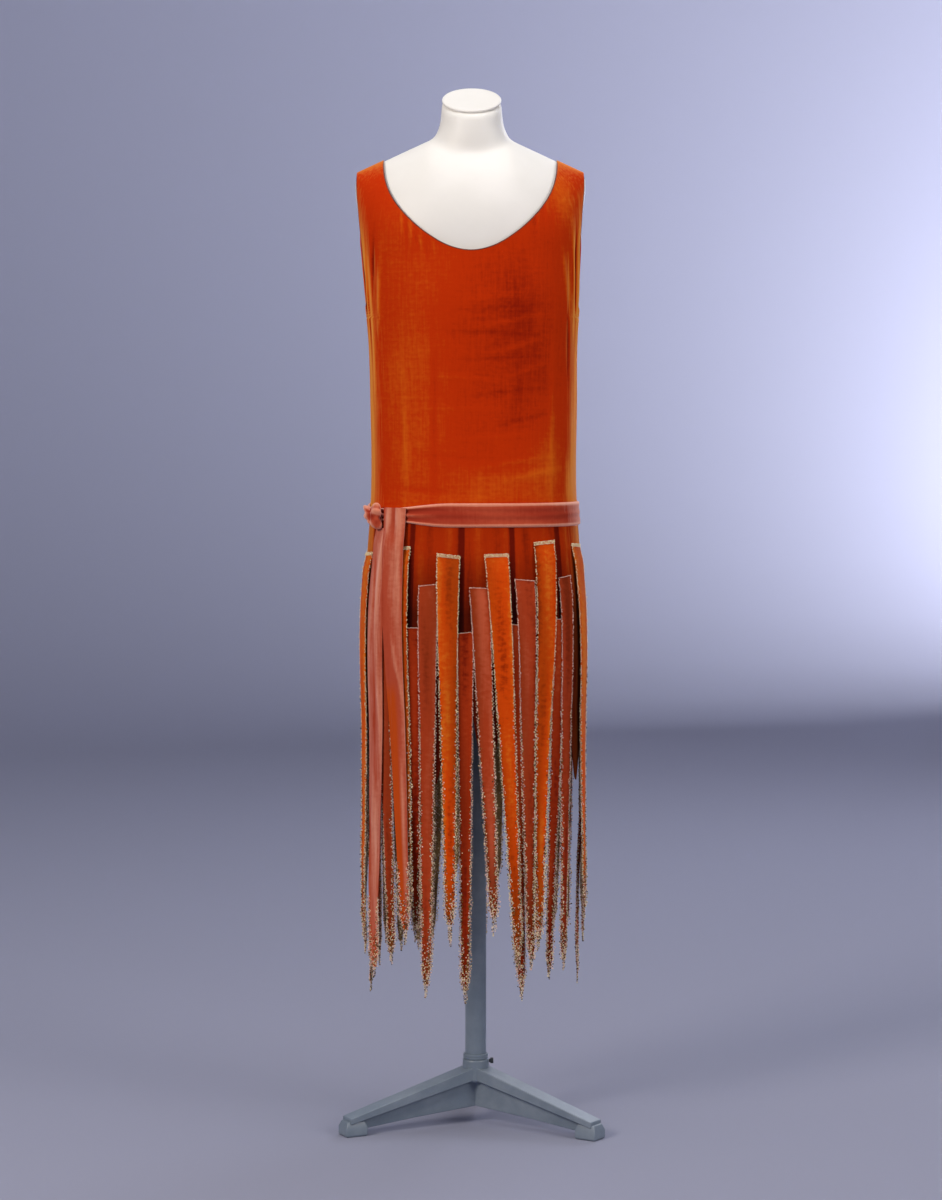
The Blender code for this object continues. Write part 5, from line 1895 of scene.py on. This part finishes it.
FRONT_CREASES = [Crease(*row) for row in (
    (-0.203, 1.245, 0.0040, 0.055, 0.0024, 3.0),
    (-0.195, 1.226, 0.0026, 0.024, -0.0040, 2.0),
    (-0.187, 1.230, 0.0036, 0.075, 0.0022, 4.0),
    (-0.176, 1.150, 0.0045, 0.090, 0.0012, 0.0),
    (-0.162, 1.275, 0.0036, 0.045, -0.0014, 8.0),
    (-0.153, 1.225, 0.0040, 0.050, 0.0010, 7.0),
    (0.206, 1.262, 0.0038, 0.065, 0.0026, -3.0),
    (0.1985, 1.232, 0.0024, 0.022, -0.0042, -2.0),
    (0.190, 1.240, 0.0034, 0.085, 0.0030, -2.0),
    (0.181, 1.262, 0.0026, 0.060, -0.0022, -4.0),
    (0.173, 1.255, 0.0034, 0.060, 0.0022, -4.0),
    (0.163, 1.190, 0.0040, 0.080, -0.0012, -2.0),
    (0.152, 1.250, 0.0036, 0.045, 0.0009, -8.0),
    (-0.1040, 1.338, 0.0020, 0.018, 0.0007),
    (-0.0970, 1.330, 0.0017, 0.022, -0.0007),
    (-0.0900, 1.322, 0.0020, 0.020, 0.0008),
    (-0.0820, 1.314, 0.0016, 0.022, -0.0007),
    (-0.0750, 1.305, 0.0020, 0.018, 0.0007),
    (-0.0660, 1.298, 0.0018, 0.020, -0.0006),
    (-0.0560, 1.291, 0.0020, 0.016, 0.0006),
    (0.0960, 1.338, 0.0018, 0.020, -0.0006),
    (0.1030, 1.352, 0.0018, 0.024, 0.0007),
    (0.1110, 1.366, 0.0017, 0.021, -0.0006),
    (0.1190, 1.380, 0.0018, 0.024, 0.0007),
    (-0.062, 1.060, 0.0050, 0.130, -0.0006, 1.0),
    (-0.110, 1.010, 0.0060, 0.100, 0.0005, -1.0),
    (0.070, 1.100, 0.0060, 0.110, -0.0002, -1.5),
    (0.128, 1.020, 0.0060, 0.120, 0.0006, 1.0),
    (0.0450, 1.226, 0.0034, 0.055, 0.0003, 84.0),
    (0.0200, 1.207, 0.0032, 0.070, -0.0003, 88.0),
    (0.0620, 1.190, 0.0036, 0.060, 0.0004, 80.0),
    (0.0120, 1.172, 0.0032, 0.080, -0.0003, 92.0),
    (0.0780, 1.155, 0.0034, 0.050, 0.0004, 76.0),
    (0.0300, 1.135, 0.0033, 0.070, -0.0003, 87.0),
    (0.0880, 1.120, 0.0030, 0.040, 0.0003, 72.0),
    (-0.0120, 1.106, 0.0034, 0.060, 0.0004, 94.0),
    (0.0520, 1.086, 0.0032, 0.070, -0.0003, 84.0),
    (-0.0020, 1.062, 0.0034, 0.060, 0.0003, 90.0),
    (0.0820, 1.047, 0.0036, 0.050, -0.0004, 78.0),
    (0.0320, 1.022, 0.0032, 0.070, 0.0003, 86.0),
    (-0.0420, 0.992, 0.0034, 0.050, -0.0003, 95.0),
    (0.0640, 0.985, 0.0034, 0.055, 0.0004, 81.0),
    (0.1000, 0.968, 0.0040, 0.050, 0.0004, 80.0),
    (-0.0900, 0.945, 0.0040, 0.060, -0.0003, 95.0),
)]


# How bright the front bodice is painted, rows as in Crease: the first seven are broad lighter and darker
# patches; the narrow rows at the sides are painted golden highlights with painted shade in the slits between;
# the wide side rows and the last one, on the right strap, are painted sheen
FRONT_NAP_AND_LIGHT = [Crease(*row) for row in (
    (-0.100, 1.100, 0.060, 0.240, 0.10),
    (0.055, 1.215, 0.066, 0.090, -0.11),
    (0.100, 1.120, 0.055, 0.130, -0.08),
    (0.040, 1.060, 0.090, 0.120, -0.06),
    (0.035, 0.955, 0.055, 0.022, 0.17),
    (0.120, 0.985, 0.035, 0.070, 0.15),
    (0.000, 0.932, 0.100, 0.012, 0.10),
    (-0.207, 1.245, 0.0032, 0.060, 0.90, 3.0),
    (-0.200, 1.232, 0.0022, 0.034, -1.30, 2.0),
    (-0.193, 1.225, 0.0032, 0.080, 0.75, 3.0),
    (-0.185, 1.200, 0.0022, 0.050, -0.50, 2.0),
    (-0.178, 1.190, 0.0034, 0.090, 0.36, 2.0),
    (-0.197, 1.060, 0.0110, 0.160, 0.24),
    (-0.188, 1.235, 0.0100, 0.060, 0.30, 3.0),
    (-0.187, 0.985, 0.0044, 0.080, 0.28, -1.0),
    (-0.204, 0.930, 0.0070, 0.040, 0.30),
    (0.204, 1.255, 0.0030, 0.060, 0.90, -3.0),
    (0.1975, 1.235, 0.0020, 0.028, -1.60, -2.0),
    (0.190, 1.245, 0.0036, 0.075, 1.05, -2.0),
    (0.183, 1.250, 0.0018, 0.055, -0.70, -3.0),
    (0.176, 1.250, 0.0032, 0.055, 0.85, -4.0),
    (0.169, 1.260, 0.0018, 0.035, -0.45, -4.0),
    (0.162, 1.230, 0.0028, 0.050, 0.45, -5.0),
    (0.192, 1.050, 0.0110, 0.150, 0.26, 1.0),
    (0.180, 1.245, 0.0130, 0.062, 0.34, -4.0),
    (0.180, 1.000, 0.0040, 0.080, 0.30),
    (0.170, 0.950, 0.0120, 0.040, 0.26),
    (0.150, 1.400, 0.030, 0.050, 0.16),
)]


# The gathers below the neck stand higher on the back, whose neckline is higher
NECK_GATHERS_WITHIN = 0.13
NECK_GATHERS_ABOVE_Z = 1.29
BACK_NECK_LIFT = 0.045


def back_creases() -> list[Crease]:
    """Creases of the back: the front's, turned to the other side and shifted unevenly."""
    made = []
    for k, c in enumerate(FRONT_CREASES):
        drift = 0.006 * math.sin(2.7 * k)
        depth = 0.8 + 0.3 * math.sin(1.9 * k)
        lift = BACK_NECK_LIFT if abs(c.across) < NECK_GATHERS_WITHIN and c.z > NECK_GATHERS_ABOVE_Z else 0.0
        made.append(Crease(-c.across + drift, c.z + lift + 2.0 * drift, c.width, c.length, c.rise * depth,
                           -c.tilt))
    return made


@dataclass
class Studio:
    """The floor, the light and the camera of the photograph."""

    wardrobe: Wardrobe
    camera_distance: float = 5.0
    camera_height: float = 1.10
    axis_aside: float = 0.004
    lens: float = 101.6
    sensor: float = 36.0
    pitch: float = math.radians(2.46)
    shift_y: float = -0.06
    floor_radius: float = 6.0
    sweep_radius: float = 5.0
    wall_top: float = 7.0
    air_light: float = 0.40
    dress_middle_z: float = 0.85

    def build(self) -> None:
        """Set the floor, the lights and the camera."""
        self.floor()
        self.lights()
        self.camera()
        bpy.context.scene.view_settings.view_transform = "Standard"

    def floor(self) -> None:
        """A round sheet of paper that curves up all round, far away."""
        bend = np.linspace(0.0, math.pi / 2.0, 16)
        profile = [(0.01, 0.0), (self.floor_radius / 2.0, 0.0)]
        profile += [(self.floor_radius + self.sweep_radius * math.sin(a),
                     self.sweep_radius * (1.0 - math.cos(a))) for a in bend]
        profile.append((self.floor_radius + self.sweep_radius, self.wall_top))
        rings = MeshMaker.lathe(profile, 96)
        total, count = rings.shape[:2]
        faces = [(a, d, c, b) for a, b, c, d in MeshMaker.ring_faces(total, count)]
        faces.append(tuple(range(count)))
        mesh = bpy.data.meshes.new("studio_floor")
        mesh.from_pydata(rings.reshape(-1, 3).tolist(), [], faces)
        mesh.materials.append(self.wardrobe.paper)
        mesh.shade_smooth()
        floor = bpy.data.objects.new("studio_floor", mesh)
        bpy.context.scene.collection.objects.link(floor)

    def lights(self) -> None:
        """Large soft lamps: a key left, a fill right, one above, one behind and one on the paper."""
        world = bpy.data.worlds.new("studio_air")
        bpy.context.scene.world = world
        world.use_nodes = True
        background = world.node_tree.nodes["Background"]
        background.inputs["Color"].default_value = linear("#E2E2EC")
        background.inputs["Strength"].default_value = self.air_light
        dress = (0.0, 0.0, self.dress_middle_z)
        self.lamp("key_light", (-2.9, -3.3, 2.9), 1.4, 123.0, "#FFF4E6", dress)
        self.lamp("fill_light", (3.3, -2.6, 2.4), 1.8, 62.0, "#FFF8F0", dress)
        self.lamp("top_light", (0.2, -0.4, 4.2), 2.0, 42.0, "#FFFFFF", dress)
        self.lamp("back_light", (1.8, 3.2, 2.8), 1.8, 40.0, "#F4F5FF", dress)
        self.lamp("wall_light", (4.3, 7.0, 0.8), 2.0, 1240.0, "#F8F7FC", (2.8, 11.0, 0.6))

    @staticmethod
    def lamp(name: str, place: tuple[float, float, float], size: float, power: float, colour: str,
             aim: tuple[float, float, float]) -> None:
        """Add one area lamp.

        Args:
            name: Its name.
            place: Where it hangs.
            size: Its side.
            power: Its power in watts.
            colour: Its sRGB hex colour.
            aim: What it looks at.
        """
        data = bpy.data.lights.new(name, "AREA")
        data.shape = "SQUARE"
        data.size = size
        data.energy = power
        data.color = linear(colour)[:3]
        lamp = bpy.data.objects.new(name, data)
        bpy.context.scene.collection.objects.link(lamp)
        lamp.location = place
        lamp.rotation_euler = (Vector(aim) - lamp.location).to_track_quat("-Z", "Y").to_euler()

    def camera(self) -> None:
        """The camera at the photograph's place, a little falling front on the lens."""
        data = bpy.data.cameras.new("photo_camera")
        data.lens = self.lens
        data.sensor_width = self.sensor
        data.sensor_fit = "AUTO"
        data.shift_y = self.shift_y
        camera = bpy.data.objects.new("photo_camera", data)
        bpy.context.scene.collection.objects.link(camera)
        aside = AXIS_PLACE[0] - self.axis_aside
        camera.location = (aside, AXIS_PLACE[1] - self.camera_distance, self.camera_height)
        camera.rotation_euler = (math.pi / 2.0 - self.pitch, 0.0, 0.0)
        bpy.context.scene.camera = camera


def count_triangles() -> int:
    """How many triangles the shown meshes have, their modifiers applied."""
    graph = bpy.context.evaluated_depsgraph_get()
    total = 0
    for obj in bpy.context.scene.objects:
        if obj.type == "MESH" and not obj.hide_render:
            mesh = obj.evaluated_get(graph).to_mesh()
            total += sum(len(face.vertices) - 2 for face in mesh.polygons)
            obj.evaluated_get(graph).to_mesh_clear()
    return total


def main() -> None:
    """Dress the part, piece by piece."""
    logging.basicConfig(level=logging.INFO, format="%(name)s: %(message)s")
    wardrobe = Wardrobe()
    body = BodyLine()
    DressForm(body, wardrobe).build()
    Stand(wardrobe).build()
    Bodice(body, wardrobe, Side.FRONT, creases=FRONT_CREASES, nap_and_light=FRONT_NAP_AND_LIGHT).build()
    # The back's painted highlights, shade and patches: the front's, mirrored and weaker
    back_nap_and_light = [Crease(-c.across, c.z, c.width, c.length, 0.8 * c.rise, -c.tilt) for c in FRONT_NAP_AND_LIGHT]
    Bodice(body, wardrobe, Side.BACK, neck_drop=0.085, columns=140, rows=84, creases=back_creases(),
           nap_and_light=back_nap_and_light).build()
    for side in Side:
        Skirt(body, wardrobe, side).build()
    SashBand(body, wardrobe).build()
    SashKnot(body, wardrobe).build()
    Streamers(body, wardrobe).build()
    SashTails(body, wardrobe).build()
    Studio(wardrobe).build()
    LOG.info("triangles in all: %d", count_triangles())


if __name__ == "__main__":
    main()
